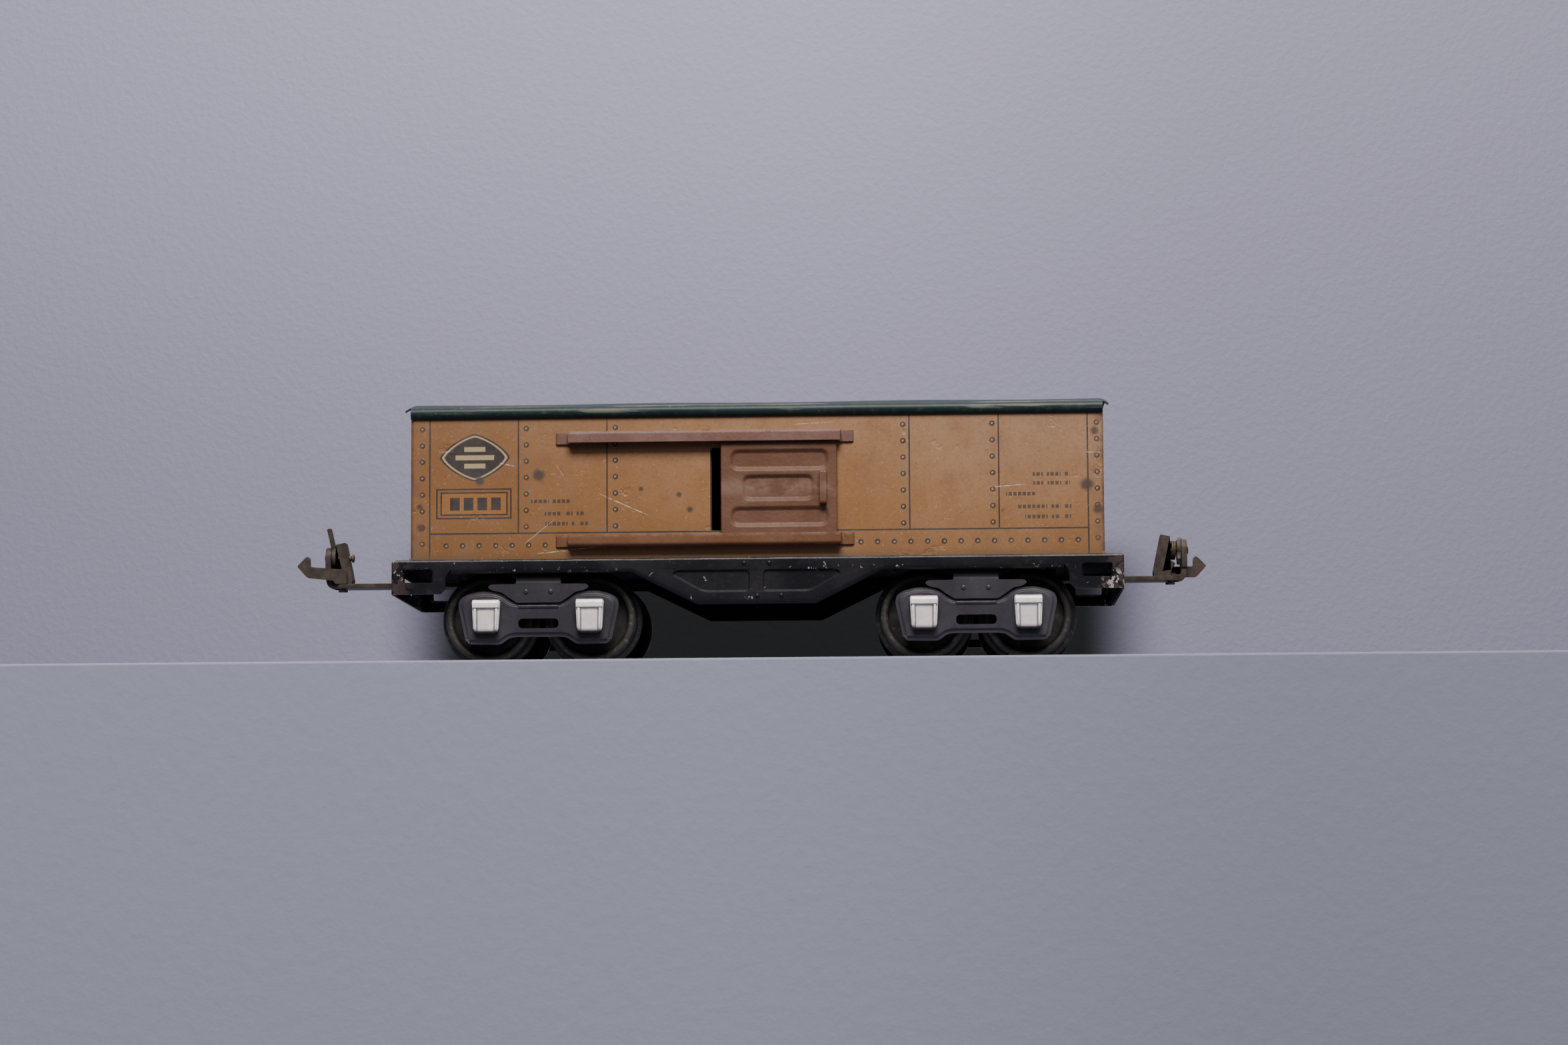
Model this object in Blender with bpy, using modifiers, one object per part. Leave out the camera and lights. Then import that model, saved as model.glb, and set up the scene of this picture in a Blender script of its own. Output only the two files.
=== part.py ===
"""O gauge tinplate box car: a pressed underframe, a folded body with a sliding door on each
side, a curved roof, two swivelling four-wheel trucks and a latch coupler at each end.

Sizes are in millimetres and the helpers turn them into metres. +X runs along the car, -Y is
the front side, +Z is up, and z = 0 is the plane that the wheel flanges stand on.
"""

import math

import bmesh
import bpy
from mathutils import Matrix

MM = 0.001
GAP = 0.3  # between faces that would touch
PIVOT_CLEARANCE = 0.09  # round a rivet or axle that its part turns on
SHEET = 0.6  # underframe and truck steel
TINPLATE = 0.5  # body, roof, door and guide sheet

# Underframe
FRAME_HALF_LENGTH = 82.5
FRAME_HALF_WIDTH = 26.0
FRAME_TOP = 24.3
SILL_BOTTOM = 21.0
BELLY_BOTTOM = 13.7
BELLY_FLAT_HALF = 13.0
BELLY_SLOPE_END = 27.6
END_POCKET_BOTTOM = 16.5
END_POCKET_INNER = 71.3
END_POCKET_CHAMFER = 1.3
POCKET_HOLE = (73.4, 79.4, 19.1, 22.0)  # x from, x to, z from, z to
DRAWBAR_SLOT = (8.2, 18.7, 22.0)  # half width, z from, z to

# Body
BODY_HALF_LENGTH = 78.1
BODY_HALF_WIDTH = 25.0
BODY_BOTTOM = FRAME_TOP + GAP
DOORWAY_HALF_WIDTH = 10.35
DOORWAY_BOTTOM = 30.2
DOORWAY_TOP = 49.3
JAMB_DEPTH = 1.3
TAB_PLACES = (20.0, 76.0)
TAB_WIDTH = 5.0
TAB_FOLD = 2.4

# Roof
ROOF_HALF_WIDTH = 26.1
EAVE_BOTTOM = 56.2
EAVE_TOP = 58.6
ROOF_RISE = 4.0
ROOF_LIP = 1.5
ARCH_STEPS = 12

# Doors and their guides
GUIDE_LEFT = -42.3
GUIDE_RIGHT = 19.1
GUIDE_FACE = 2.65
GUIDE_DEPTH = 2.6
UPPER_GUIDE_TOP = 53.05
LOWER_GUIDE_BOTTOM = 26.9
GUIDE_TAB_LENGTH = 3.0
GUIDE_TAB_HEIGHT = 2.8
DOOR_LEFT = -7.9
DOOR_RIGHT = 18.3
DOOR_BOTTOM = 27.8
DOOR_TOP = 52.2
DOOR_STANDOFF = 1.1
PANEL_DEPTH = 0.4
DOOR_PANELS = ((-5.8, 16.5, 43.7, 48.7), (-3.1, 12.9, 36.7, 42.9), (-5.8, 16.5, 31.0, 35.7))
HANDLE = (14.25, 16.15, 35.8, 43.8)

# Trucks
TRUCK_X = 49.3
AXLE_X = 11.7
AXLE_Z = 11.1
BOLSTER_TOP = 21.9
BOLSTER_HALF_WIDTH = 5.05
TRUCK_SIDE = 24.4
BONE_RAISE = 0.5
SLOT_HALF = 4.55
SLOT_BOTTOM, SLOT_TOP = 8.7, 10.9
AXLE_RADIUS = 1.2
AXLE_HALF_LENGTH = 26.2
COVER_HALF_WIDTH = 3.2
COVER_BOTTOM, COVER_TOP = 7.2, 15.1
COVER_DEPTH = 2.3
COVER_WALL = 0.45

# Wheels: (radius, distance from the car's centre plane), round the section
WHEEL_SEGMENTS = 20
WHEEL_SECTION = (
    (1.3, 18.8),
    (2.6, 18.8),
    (2.9, 17.5),
    (7.7, 18.0),
    (8.3, 19.8),
    (9.8, 19.6),
    (10.0, 15.7),
    (11.1, 15.0),
    (11.1, 14.4),
    (10.3, 14.0),
    (8.6, 16.2),
    (1.3, 16.2),
)

# Couplers, as the right-hand one stands
COUPLER_PIVOT_X = 68.0
BAR_BOTTOM, BAR_TOP = 20.0, 20.8
BAR_HALF_WIDTH = 3.5
REAR_PLATE_X = 91.0
REAR_PLATE_TOP = 30.6
REAR_PLATE_LEAN = 2.2
FRONT_PLATE_X = 97.3
HEAD_PIN_Z = 27.2
DISC_RADIUS = 2.6
HOOK_Y = 3.1
HOOK_THICKNESS = 0.9
FOOT_LENGTH = 2.6
LEVER_TOP = 34.3
LEVER_BOTTOM = 22.2
LEVER_LEAN = 1.3
SPRING_TURNS = 2
SPRING_WIRE = 0.44

TRUCK_RIVET_RADIUS = 1.5
COUPLER_RIVET_RADIUS = 1.2

car = bpy.data.collections.new("model_box_car")
materials = {}


def start_scene():
    for old in list(bpy.data.objects):
        bpy.data.objects.remove(old)
    bpy.context.scene.collection.children.link(car)


def material(name, colour, roughness, metallic):
    made = bpy.data.materials.new(name)
    made.use_nodes = True
    shader = made.node_tree.nodes["Principled BSDF"]
    shader.inputs["Base Color"].default_value = (*colour, 1)
    shader.inputs["Roughness"].default_value = roughness
    shader.inputs["Metallic"].default_value = metallic
    materials[name] = made


def make_materials():
    material("black_enamel", (0.018, 0.018, 0.024), 0.35, 0.0)
    material("cream_litho", (0.56, 0.34, 0.14), 0.45, 0.0)
    material("green_roof", (0.03, 0.09, 0.09), 0.35, 0.0)
    material("brown_enamel", (0.26, 0.13, 0.08), 0.4, 0.0)
    material("nickel_plate", (0.72, 0.68, 0.64), 0.25, 1.0)
    material("wheel_steel", (0.10, 0.10, 0.10), 0.45, 0.6)
    material("axle_steel", (0.45, 0.44, 0.42), 0.35, 1.0)
    material("coupler_steel", (0.22, 0.19, 0.16), 0.45, 0.9)
    material("brass", (0.65, 0.47, 0.22), 0.3, 1.0)


# ---------------------------------------------------------------- helpers


def linked(name, data):
    obj = bpy.data.objects.new(name, data)
    car.objects.link(obj)
    return obj


def box(name, low, high):
    """A box between two corners."""
    mesh = bpy.data.meshes.new(name)
    shape = bmesh.new()
    middle = [(a + b) / 2 * MM for a, b in zip(low, high)]
    size = [(b - a) * MM for a, b in zip(low, high)]
    bmesh.ops.create_cube(shape, matrix=Matrix.Translation(middle) @ Matrix.Diagonal((*size, 1)))
    shape.to_mesh(mesh)
    shape.free()
    return linked(name, mesh)


def cylinder(name, radius, start, end, axis="Z", centre=(0, 0), segments=16, top_radius=None):
    """A cylinder or cone from start to end along an axis, centred on the other two axes."""
    mesh = bpy.data.meshes.new(name)
    shape = bmesh.new()
    bmesh.ops.create_cone(
        shape,
        cap_ends=True,
        segments=segments,
        radius1=radius * MM,
        radius2=(radius if top_radius is None else top_radius) * MM,
        depth=(end - start) * MM,
    )
    a, b = centre
    middle = (start + end) / 2
    turn, place = {
        "X": (Matrix(((0, 0, 1), (1, 0, 0), (0, 1, 0))), (middle, a, b)),
        "Y": (Matrix(((0, 1, 0), (0, 0, 1), (1, 0, 0))), (a, middle, b)),
        "Z": (Matrix.Identity(3), (a, b, middle)),
    }[axis]
    place = Matrix.Translation([value * MM for value in place])
    bmesh.ops.transform(shape, matrix=place @ turn.to_4x4(), verts=shape.verts)
    shape.to_mesh(mesh)
    shape.free()
    return linked(name, mesh)


def as_mesh(obj):
    """Turns a curve, or a mesh with modifiers, into a plain mesh object with its caps welded."""
    evaluated = obj.evaluated_get(bpy.context.evaluated_depsgraph_get())
    mesh = bpy.data.meshes.new_from_object(evaluated)
    shape = bmesh.new()
    shape.from_mesh(mesh)
    bmesh.ops.remove_doubles(shape, verts=shape.verts, dist=0.001 * MM)
    shape.to_mesh(mesh)
    shape.free()
    solid = linked(obj.name, mesh)
    solid.matrix_world = obj.matrix_world
    name = obj.name
    bpy.data.objects.remove(obj)
    solid.name = name
    return solid


def plate(name, outline, thickness, stand, offset, holes=()):
    """A flat outline with holes, extruded. stand is the plane it lies in, and offset is the
    place of its middle across that plane."""
    curve = bpy.data.curves.new(name, "CURVE")
    curve.dimensions = "2D"
    curve.fill_mode = "BOTH"
    curve.extrude = thickness / 2 * MM
    for loop in (outline, *holes):
        spline = curve.splines.new("POLY")
        spline.points.add(len(loop) - 1)
        spline.use_cyclic_u = True
        for point, (a, b) in zip(spline.points, loop):
            point.co = (a * MM, b * MM, 0, 1)
    obj = as_mesh(linked(name, curve))
    turn, place = {
        "XZ": (Matrix(((1, 0, 0), (0, 0, -1), (0, 1, 0))), (0, offset, 0)),
        "YZ": (Matrix(((0, 0, 1), (1, 0, 0), (0, 1, 0))), (offset, 0, 0)),
        "XY": (Matrix.Identity(3), (0, 0, offset)),
    }[stand]
    place = Matrix.Translation([value * MM for value in place])
    obj.data.transform(place @ turn.to_4x4())
    return obj


def rectangle(a_low, a_high, b_low, b_high):
    return [(a_low, b_low), (a_high, b_low), (a_high, b_high), (a_low, b_high)]


def rounded(points, radius, steps=3):
    """The outline with each corner replaced by an arc of the radius, or less on a short side."""
    made = []
    for i, (x, y) in enumerate(points):
        ends = []
        for other in (points[i - 1], points[(i + 1) % len(points)]):
            run = math.dist((x, y), other)
            share = min(radius, run * 0.45) / run
            ends.append((x + (other[0] - x) * share, y + (other[1] - y) * share))
        for step in range(steps + 1):
            t = step / steps
            weights = ((1 - t) ** 2, 2 * t * (1 - t), t * t)
            corners = (ends[0], (x, y), ends[1])
            made.append(tuple(sum(w * c[k] for w, c in zip(weights, corners)) for k in (0, 1)))
    return made


def combine(base, tools, operation):
    """Joins the tools to the base solid, or cuts them from it, and removes them."""
    for tool in tools:
        boolean = base.modifiers.new("join", "BOOLEAN")
        boolean.operation = operation
        boolean.solver = "EXACT"
        boolean.object = tool
    solid = as_mesh(base)
    for tool in tools:
        bpy.data.objects.remove(tool)
    return solid


def join(base, *tools):
    return combine(base, tools, "UNION")


def cut(base, *tools):
    return combine(base, tools, "DIFFERENCE")


def finish(obj, look, parent=None, half_turn=False):
    """Gives a finished solid its material and parent. half_turn carries it to the opposite
    end and side of the car, or of its parent."""
    obj.data.materials.clear()
    obj.data.materials.append(materials[look])
    obj.data.set_sharp_from_angle(angle=math.radians(35))
    for face in obj.data.polygons:
        face.use_smooth = True
    obj.parent = parent
    if half_turn:
        obj.rotation_euler.z = math.pi
    return obj


def pivot(name, place, parent=None):
    empty = linked(name, None)
    empty.location = [value * MM for value in place]
    empty.parent = parent
    return empty


# ---------------------------------------------------------------- underframe


def side_outline():
    """The side of the underframe: a thin sill with a dropped belly and a deep pocket at each end."""
    half = [
        (FRAME_HALF_LENGTH, FRAME_TOP),
        (FRAME_HALF_LENGTH, END_POCKET_BOTTOM),
        (END_POCKET_INNER, END_POCKET_BOTTOM),
        (END_POCKET_INNER - END_POCKET_CHAMFER, END_POCKET_BOTTOM + END_POCKET_CHAMFER),
        (END_POCKET_INNER - END_POCKET_CHAMFER, SILL_BOTTOM),
        (BELLY_SLOPE_END, SILL_BOTTOM),
        (BELLY_FLAT_HALF, BELLY_BOTTOM),
    ]
    return half + [(-x, z) for x, z in reversed(half)]


def make_underframe():
    """A tray open at the bottom, with slots for the body tabs and holes for the rivets."""
    tray = plate("underframe", side_outline(), 2 * FRAME_HALF_WIDTH, "XZ", 0)
    inner_x, inner_y = FRAME_HALF_LENGTH - SHEET, FRAME_HALF_WIDTH - SHEET
    tray = cut(tray, box("inside", (-inner_x, -inner_y, 0), (inner_x, inner_y, FRAME_TOP - SHEET)))
    holes = []
    wide = FRAME_HALF_WIDTH + 1
    x_from, x_to, z_from, z_to = POCKET_HOLE
    slot_half, slot_from, slot_to = DRAWBAR_SLOT
    for end in (-1, 1):
        pocket = sorted((end * x_from, end * x_to))
        holes.append(box("pocket", (pocket[0], -wide, z_from), (pocket[1], wide, z_to)))
        slot = sorted((end * (FRAME_HALF_LENGTH - 2), end * (FRAME_HALF_LENGTH + 2)))
        holes.append(box("slot", (slot[0], -slot_half, slot_from), (slot[1], slot_half, slot_to)))
        for place, radius in ((TRUCK_X, TRUCK_RIVET_RADIUS), (COUPLER_PIVOT_X, COUPLER_RIVET_RADIUS)):
            centre = (end * place, 0)
            holes.append(cylinder("rivet", radius + GAP, FRAME_TOP - 2, FRAME_TOP + 2, "Z", centre))
        for x in TAB_PLACES:
            for side in (-1, 1):
                reach = TAB_WIDTH / 2 + GAP
                far = side * (BODY_HALF_WIDTH - TINPLATE / 2)
                low = (end * x - reach, far - TINPLATE / 2 - GAP, FRAME_TOP - 2)
                high = (end * x + reach, far + TINPLATE / 2 + GAP, FRAME_TOP + 2)
                holes.append(box("tab_slot", low, high))
    finish(cut(tray, *holes), "black_enamel")


# ---------------------------------------------------------------- body and roof


def arch(half_width, base, rise, steps=ARCH_STEPS):
    """Points of a shallow arc from -half_width to +half_width, base high at its ends."""
    radius = (half_width**2 + rise**2) / (2 * rise)
    spread = math.asin(half_width / radius)
    angles = [spread * (2 * i / steps - 1) for i in range(steps + 1)]
    drop = radius - rise
    return [(radius * math.sin(a), base + radius * math.cos(a) - drop) for a in angles]


def body_tab(x, side):
    """A tab of the body side that goes down through the floor and is folded in under it."""
    outer = BODY_HALF_WIDTH - 0.05
    inner = BODY_HALF_WIDTH - TINPLATE + 0.05
    under = FRAME_TOP - SHEET - GAP
    left, right = x - TAB_WIDTH / 2, x + TAB_WIDTH / 2
    leg = sorted((side * inner, side * outer))
    fold = sorted((side * (BODY_HALF_WIDTH - TAB_FOLD), side * (outer - 0.05)))
    return (
        box("leg", (left, leg[0], under - TINPLATE), (right, leg[1], BODY_BOTTOM + 1)),
        box("fold", (left + 0.05, fold[0], under - TINPLATE - 0.05), (right - 0.05, fold[1], under)),
    )


def guide_slots(side):
    """Cutters for the slots that the prongs of the two door guides go into."""
    slots = []
    for low in (UPPER_GUIDE_TOP - GUIDE_FACE, LOWER_GUIDE_BOTTOM):
        for x in (GUIDE_LEFT - GUIDE_TAB_LENGTH, GUIDE_RIGHT + GUIDE_TAB_LENGTH - TINPLATE):
            across = sorted((-side * (x - GAP), -side * (x + TINPLATE + GAP)))
            through = sorted((side * (BODY_HALF_WIDTH - 1), side * (BODY_HALF_WIDTH + 1)))
            near = (across[0], through[0], low - GAP)
            slots.append(box("slot", near, (across[1], through[1], low + GUIDE_FACE)))
    return slots


def make_body():
    """Four walls with arched ends, folded tabs under the sides, and a doorway with turned-in
    edges on each side."""
    crown = arch(BODY_HALF_WIDTH, EAVE_TOP - TINPLATE - GAP, ROOF_RISE - 0.2)
    outline = [(-BODY_HALF_WIDTH, BODY_BOTTOM), (BODY_HALF_WIDTH, BODY_BOTTOM), *reversed(crown)]
    body = plate("body_shell", outline, 2 * BODY_HALF_LENGTH, "YZ", 0)
    inner_x, inner_y = BODY_HALF_LENGTH - TINPLATE, BODY_HALF_WIDTH - TINPLATE
    body = cut(body, box("inside", (-inner_x, -inner_y, BODY_BOTTOM - 5), (inner_x, inner_y, 90)))
    added, openings = [], []
    for side in (-1, 1):
        across = sorted((side * (BODY_HALF_WIDTH - TINPLATE / 2), side * (BODY_HALF_WIDTH - JAMB_DEPTH)))
        for hand in (-1, 1):
            edge = sorted((hand * (DOORWAY_HALF_WIDTH - 1), hand * (DOORWAY_HALF_WIDTH + TINPLATE)))
            low = (edge[0], across[0], DOORWAY_BOTTOM - 0.4)
            added.append(box("jamb", low, (edge[1], across[1], DOORWAY_TOP + 0.4)))
        for x in TAB_PLACES:
            added.extend(body_tab(x, side))
            added.extend(body_tab(-x, side))
        openings.extend(guide_slots(side))
    body = join(body, *added)
    wide = BODY_HALF_WIDTH + 5
    low = (-DOORWAY_HALF_WIDTH, -wide, DOORWAY_BOTTOM)
    openings.append(box("doorway", low, (DOORWAY_HALF_WIDTH, wide, DOORWAY_TOP)))
    finish(cut(body, *openings), "cream_litho")


def make_roof():
    """A curved sheet turned down along both eaves, with a narrow lip over each end."""
    over = arch(ROOF_HALF_WIDTH - 0.6, EAVE_TOP + 0.1, ROOF_RISE)
    under = arch(ROOF_HALF_WIDTH - TINPLATE, EAVE_TOP - TINPLATE, ROOF_RISE)
    outer = [(-ROOF_HALF_WIDTH, EAVE_BOTTOM), (-ROOF_HALF_WIDTH, EAVE_TOP - 0.4), *over]
    outer += [(ROOF_HALF_WIDTH, EAVE_TOP - 0.4), (ROOF_HALF_WIDTH, EAVE_BOTTOM)]
    eave = ROOF_HALF_WIDTH - TINPLATE
    inner = [(eave, EAVE_BOTTOM), *reversed(under), (-eave, EAVE_BOTTOM)]
    length = 2 * (BODY_HALF_LENGTH + ROOF_LIP)
    roof = plate("roof", outer + inner, length, "YZ", 0)
    clear = BODY_HALF_LENGTH + 0.1
    past = clear + ROOF_LIP + 1
    for end in (-1, 1):
        left, right = sorted((end * clear, end * past))
        low = (left, -ROOF_HALF_WIDTH - 1, EAVE_BOTTOM - 1)
        roof = cut(roof, box("notch", low, (right, ROOF_HALF_WIDTH + 1, EAVE_TOP - TINPLATE)))
    finish(roof, "green_roof")


# ---------------------------------------------------------------- doors


def door_guide(name, bottom, flange_on_top, half_turn):
    """A folded strip that stands off the body and holds a door edge. Its ends step back to
    the body, and a prong on each end goes into a slot."""
    top = bottom + GUIDE_FACE
    wall = -BODY_HALF_WIDTH
    face_front = wall - GUIDE_DEPTH
    near_wall = wall - GAP
    guide = box(name, (GUIDE_LEFT, face_front, bottom), (GUIDE_RIGHT, face_front + TINPLATE, top))
    low, high = (top - TINPLATE, top) if flange_on_top else (bottom, bottom + TINPLATE)
    parts = [box("flange", (GUIDE_LEFT, face_front, low), (GUIDE_RIGHT, near_wall, high))]
    tab_low = bottom - (GUIDE_TAB_HEIGHT - GUIDE_FACE)
    for hand, end in ((-1, GUIDE_LEFT), (1, GUIDE_RIGHT)):
        inner = sorted((end, end - hand * TINPLATE))
        parts.append(box("riser", (inner[0], face_front, bottom), (inner[1], near_wall, top)))
        tab = sorted((end - hand * TINPLATE, end + hand * GUIDE_TAB_LENGTH))
        parts.append(
            box("tab", (tab[0], near_wall - TINPLATE, tab_low + 0.1), (tab[1], near_wall, top - 0.3))
        )
        prong = sorted((end + hand * (GUIDE_TAB_LENGTH - TINPLATE), end + hand * GUIDE_TAB_LENGTH))
        parts.append(
            box(
                "prong",
                (prong[0], near_wall - TINPLATE, tab_low + 0.2),
                (prong[1], wall + TINPLATE + 1, top - 0.4),
            )
        )
    finish(join(guide, *parts), "brown_enamel", half_turn=half_turn)


def make_door(side, half_turn):
    """A door sheet with three pressed-in panels, and the strap handle on it."""
    rail = pivot(f"door_{side}_slide", (0, 0, 0))
    back = -BODY_HALF_WIDTH - DOOR_STANDOFF
    front = back - TINPLATE
    sheet = box(f"door_{side}", (DOOR_LEFT, front, DOOR_BOTTOM), (DOOR_RIGHT, back, DOOR_TOP))
    backs, recesses = [], []
    for left, right, low, high in DOOR_PANELS:
        outline = rounded(rectangle(left, right, low, high), 1.6)
        wall = rounded(rectangle(left - 0.4, right + 0.4, low - 0.4, high + 0.4), 2.0)
        depth = PANEL_DEPTH + 0.1
        backs.append(plate("panel_back", wall, 2 * depth, "XZ", back))
        recesses.append(plate("panel", outline, 2 * PANEL_DEPTH, "XZ", front))
    sheet = cut(join(sheet, *backs), *recesses)
    finish(sheet, "brown_enamel", rail, half_turn)

    left, right, low, high = HANDLE
    strap = 0.5
    near, far = front - 0.1, front - 1.3
    handle = box(f"door_handle_{side}", (left, far, low), (right, far + strap, high))
    feet = [
        box("foot", (left, far, low), (right, near, low + strap)),
        box("foot", (left, far, high - strap), (right, near, high)),
    ]
    finish(join(handle, *feet), "brown_enamel", rail, half_turn)


# ---------------------------------------------------------------- trucks


def truck_side_outline():
    """The whole pressed side: a tab up to the bolster, two wings, and a lobe round each axle."""
    half = [
        (BOLSTER_HALF_WIDTH, BOLSTER_TOP),
        (BOLSTER_HALF_WIDTH, 18.7),
        (10.8, 18.7),
        (11.4, 18.1),
        (10.6, 17.2),
        (13.2, 17.1),
        (16.2, 16.4),
        (17.9, 15.5),
        (18.2, 14.0),
        (16.5, 5.6),
        (16.1, 5.2),
        (8.4, 5.1),
        (6.4, 6.6),
        (4.9, 6.8),
    ]
    return half + [(-x, z) for x, z in reversed(half)]


def bone_outline():
    """The raised dog-bone that joins the two axle lobes."""
    half = [
        (4.4, 14.4),
        (6.2, 14.8),
        (7.6, 16.0),
        (9.6, 16.9),
        (13.2, 17.0),
        (16.0, 16.3),
        (17.6, 15.3),
        (17.9, 14.0),
        (16.2, 5.9),
        (15.9, 5.4),
        (8.6, 5.3),
        (6.6, 6.8),
        (4.9, 7.0),
    ]
    return half + [(-x, z) for x, z in reversed(half)]


def slot_outline():
    radius = (SLOT_TOP - SLOT_BOTTOM) / 2
    middle = (SLOT_TOP + SLOT_BOTTOM) / 2
    points = []
    for hand, start in ((1, -90), (-1, 90)):
        for step in range(5):
            angle = math.radians(start + 45 * step)
            x = hand * (SLOT_HALF - radius) + radius * math.cos(angle)
            points.append((x, middle + radius * math.sin(angle)))
    return points


def axle_hole(x):
    angles = [math.tau * i / WHEEL_SEGMENTS for i in range(WHEEL_SEGMENTS)]
    radius = AXLE_RADIUS + PIVOT_CLEARANCE
    return [(x + radius * math.cos(a), AXLE_Z + radius * math.sin(a)) for a in angles]


def make_truck_frame(end, truck):
    """One pressing: the bolster across the top, with a side bent down at each end of it."""
    radius = TRUCK_RIVET_RADIUS + PIVOT_CLEARANCE
    angles = [math.tau * i / 16 for i in range(16)]
    hole = [(radius * math.cos(a), radius * math.sin(a)) for a in angles]
    bolster = plate(
        f"truck_frame_{end}",
        rectangle(-BOLSTER_HALF_WIDTH, BOLSTER_HALF_WIDTH, -TRUCK_SIDE, TRUCK_SIDE),
        SHEET,
        "XY",
        BOLSTER_TOP - SHEET / 2,
        (hole,),
    )
    sides = []
    holes = (slot_outline(), axle_hole(-AXLE_X), axle_hole(AXLE_X))
    for side in (-1, 1):
        middle = side * (TRUCK_SIDE - SHEET / 2)
        sides.append(plate("side", truck_side_outline(), SHEET, "XZ", middle, holes))
        bone = BONE_RAISE + SHEET / 2
        middle = side * (TRUCK_SIDE + BONE_RAISE - bone / 2)
        sides.append(plate("bone", bone_outline(), bone, "XZ", middle, holes))
    finish(join(bolster, *sides), "black_enamel", truck)


def journal_cover(name, x, side, truck):
    """A plated cover over one axle end: a hollow box with a rounded foot, open at the back."""
    back = TRUCK_SIDE + BONE_RAISE + 0.1
    front = back + COVER_DEPTH
    profile = [
        (back, COVER_BOTTOM + 0.9),
        (front - 0.9, COVER_BOTTOM),
        (front - 0.2, COVER_BOTTOM + 0.8),
        (front, COVER_BOTTOM + 2.0),
        (front, COVER_TOP - 1.4),
        (front - 0.5, COVER_TOP),
        (back, COVER_TOP),
    ]
    low, high = COVER_BOTTOM + 1.4, COVER_TOP - COVER_WALL
    pocket = [(back - 1, low), (front - 1.0, low), (front - COVER_WALL, low + 0.8)]
    pocket += [(front - COVER_WALL, high), (back - 1, high)]
    if side < 0:
        profile = [(-y, z) for y, z in reversed(profile)]
        pocket = [(-y, z) for y, z in reversed(pocket)]
    cover = plate(name, profile, 2 * COVER_HALF_WIDTH, "YZ", x)
    hollow = plate("pocket", pocket, 2 * (COVER_HALF_WIDTH - COVER_WALL), "YZ", x)
    finish(cut(cover, hollow), "nickel_plate", truck)


def wheel(name, side, wheelset):
    """A turned tinplate wheel: flange, tread, rolled rim and a dished face round the hub."""
    mesh = bpy.data.meshes.new(name)
    shape = bmesh.new()
    ring = [shape.verts.new((radius * MM, 0, -face * MM)) for radius, face in WHEEL_SECTION]
    for first, second in zip(ring, ring[1:] + ring[:1]):
        shape.edges.new((first, second))
    shape.to_mesh(mesh)
    shape.free()
    obj = linked(name, mesh)
    screw = obj.modifiers.new("turn", "SCREW")
    screw.steps = WHEEL_SEGMENTS
    screw.render_steps = WHEEL_SEGMENTS
    screw.use_merge_vertices = True
    screw.merge_threshold = 0.00001
    obj = as_mesh(obj)
    shape = bmesh.new()
    shape.from_mesh(obj.data)
    bmesh.ops.rotate(shape, matrix=Matrix.Rotation(math.radians(-90), 3, "X"), verts=shape.verts)
    if side > 0:
        bmesh.ops.rotate(shape, matrix=Matrix.Rotation(math.pi, 3, "Z"), verts=shape.verts)
    bmesh.ops.recalc_face_normals(shape, faces=shape.faces)
    shape.to_mesh(obj.data)
    shape.free()
    finish(obj, "wheel_steel", wheelset)


def make_wheelset(end, place, x, truck):
    wheelset = pivot(f"wheelset_{end}_{place}", (x, 0, AXLE_Z), truck)
    reach = AXLE_HALF_LENGTH
    axle = cylinder(f"axle_{end}_{place}", AXLE_RADIUS, -reach, reach, "Y", segments=WHEEL_SEGMENTS)
    finish(axle, "axle_steel", wheelset)
    wheel(f"wheel_{end}_{place}_front", -1, wheelset)
    wheel(f"wheel_{end}_{place}_back", 1, wheelset)


def rivet(name, radius, x, top_face, bottom_face, head_radius):
    """A domed rivet from above top_face to below bottom_face, with a flat upset head beneath."""
    centre = (x, 0)
    shank = cylinder(name, radius, bottom_face - 0.6, top_face + 0.6, "Z", centre)
    dome = cylinder("dome", head_radius, top_face, top_face + 0.9, "Z", centre, 16, head_radius * 0.55)
    upset = cylinder("upset", head_radius * 0.9, bottom_face - 0.8, bottom_face, "Z", centre)
    return finish(join(shank, dome, upset), "axle_steel")


def tube(name, inner, outer, x, low, high, look):
    ring = cylinder(name, outer, low, high, "Z", (x, 0))
    finish(cut(ring, cylinder("bore", inner, low - 1, high + 1, "Z", (x, 0))), look)


def make_truck(end, sign):
    truck = pivot(f"truck_{end}", (sign * TRUCK_X, 0, 0))
    make_truck_frame(end, truck)
    for place, x in (("outer", sign * AXLE_X), ("inner", -sign * AXLE_X)):
        make_wheelset(end, place, x, truck)
        journal_cover(f"journal_cover_{end}_{place}_front", x, -1, truck)
        journal_cover(f"journal_cover_{end}_{place}_back", x, 1, truck)
    x = sign * TRUCK_X
    rivet(f"truck_rivet_{end}", TRUCK_RIVET_RADIUS, x, FRAME_TOP + GAP, BOLSTER_TOP - SHEET - GAP, 3.0)
    tube(
        f"truck_washer_{end}",
        TRUCK_RIVET_RADIUS + GAP,
        4.2,
        x,
        BOLSTER_TOP + GAP,
        FRAME_TOP - SHEET - GAP,
        "axle_steel",
    )


# ---------------------------------------------------------------- couplers


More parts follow.
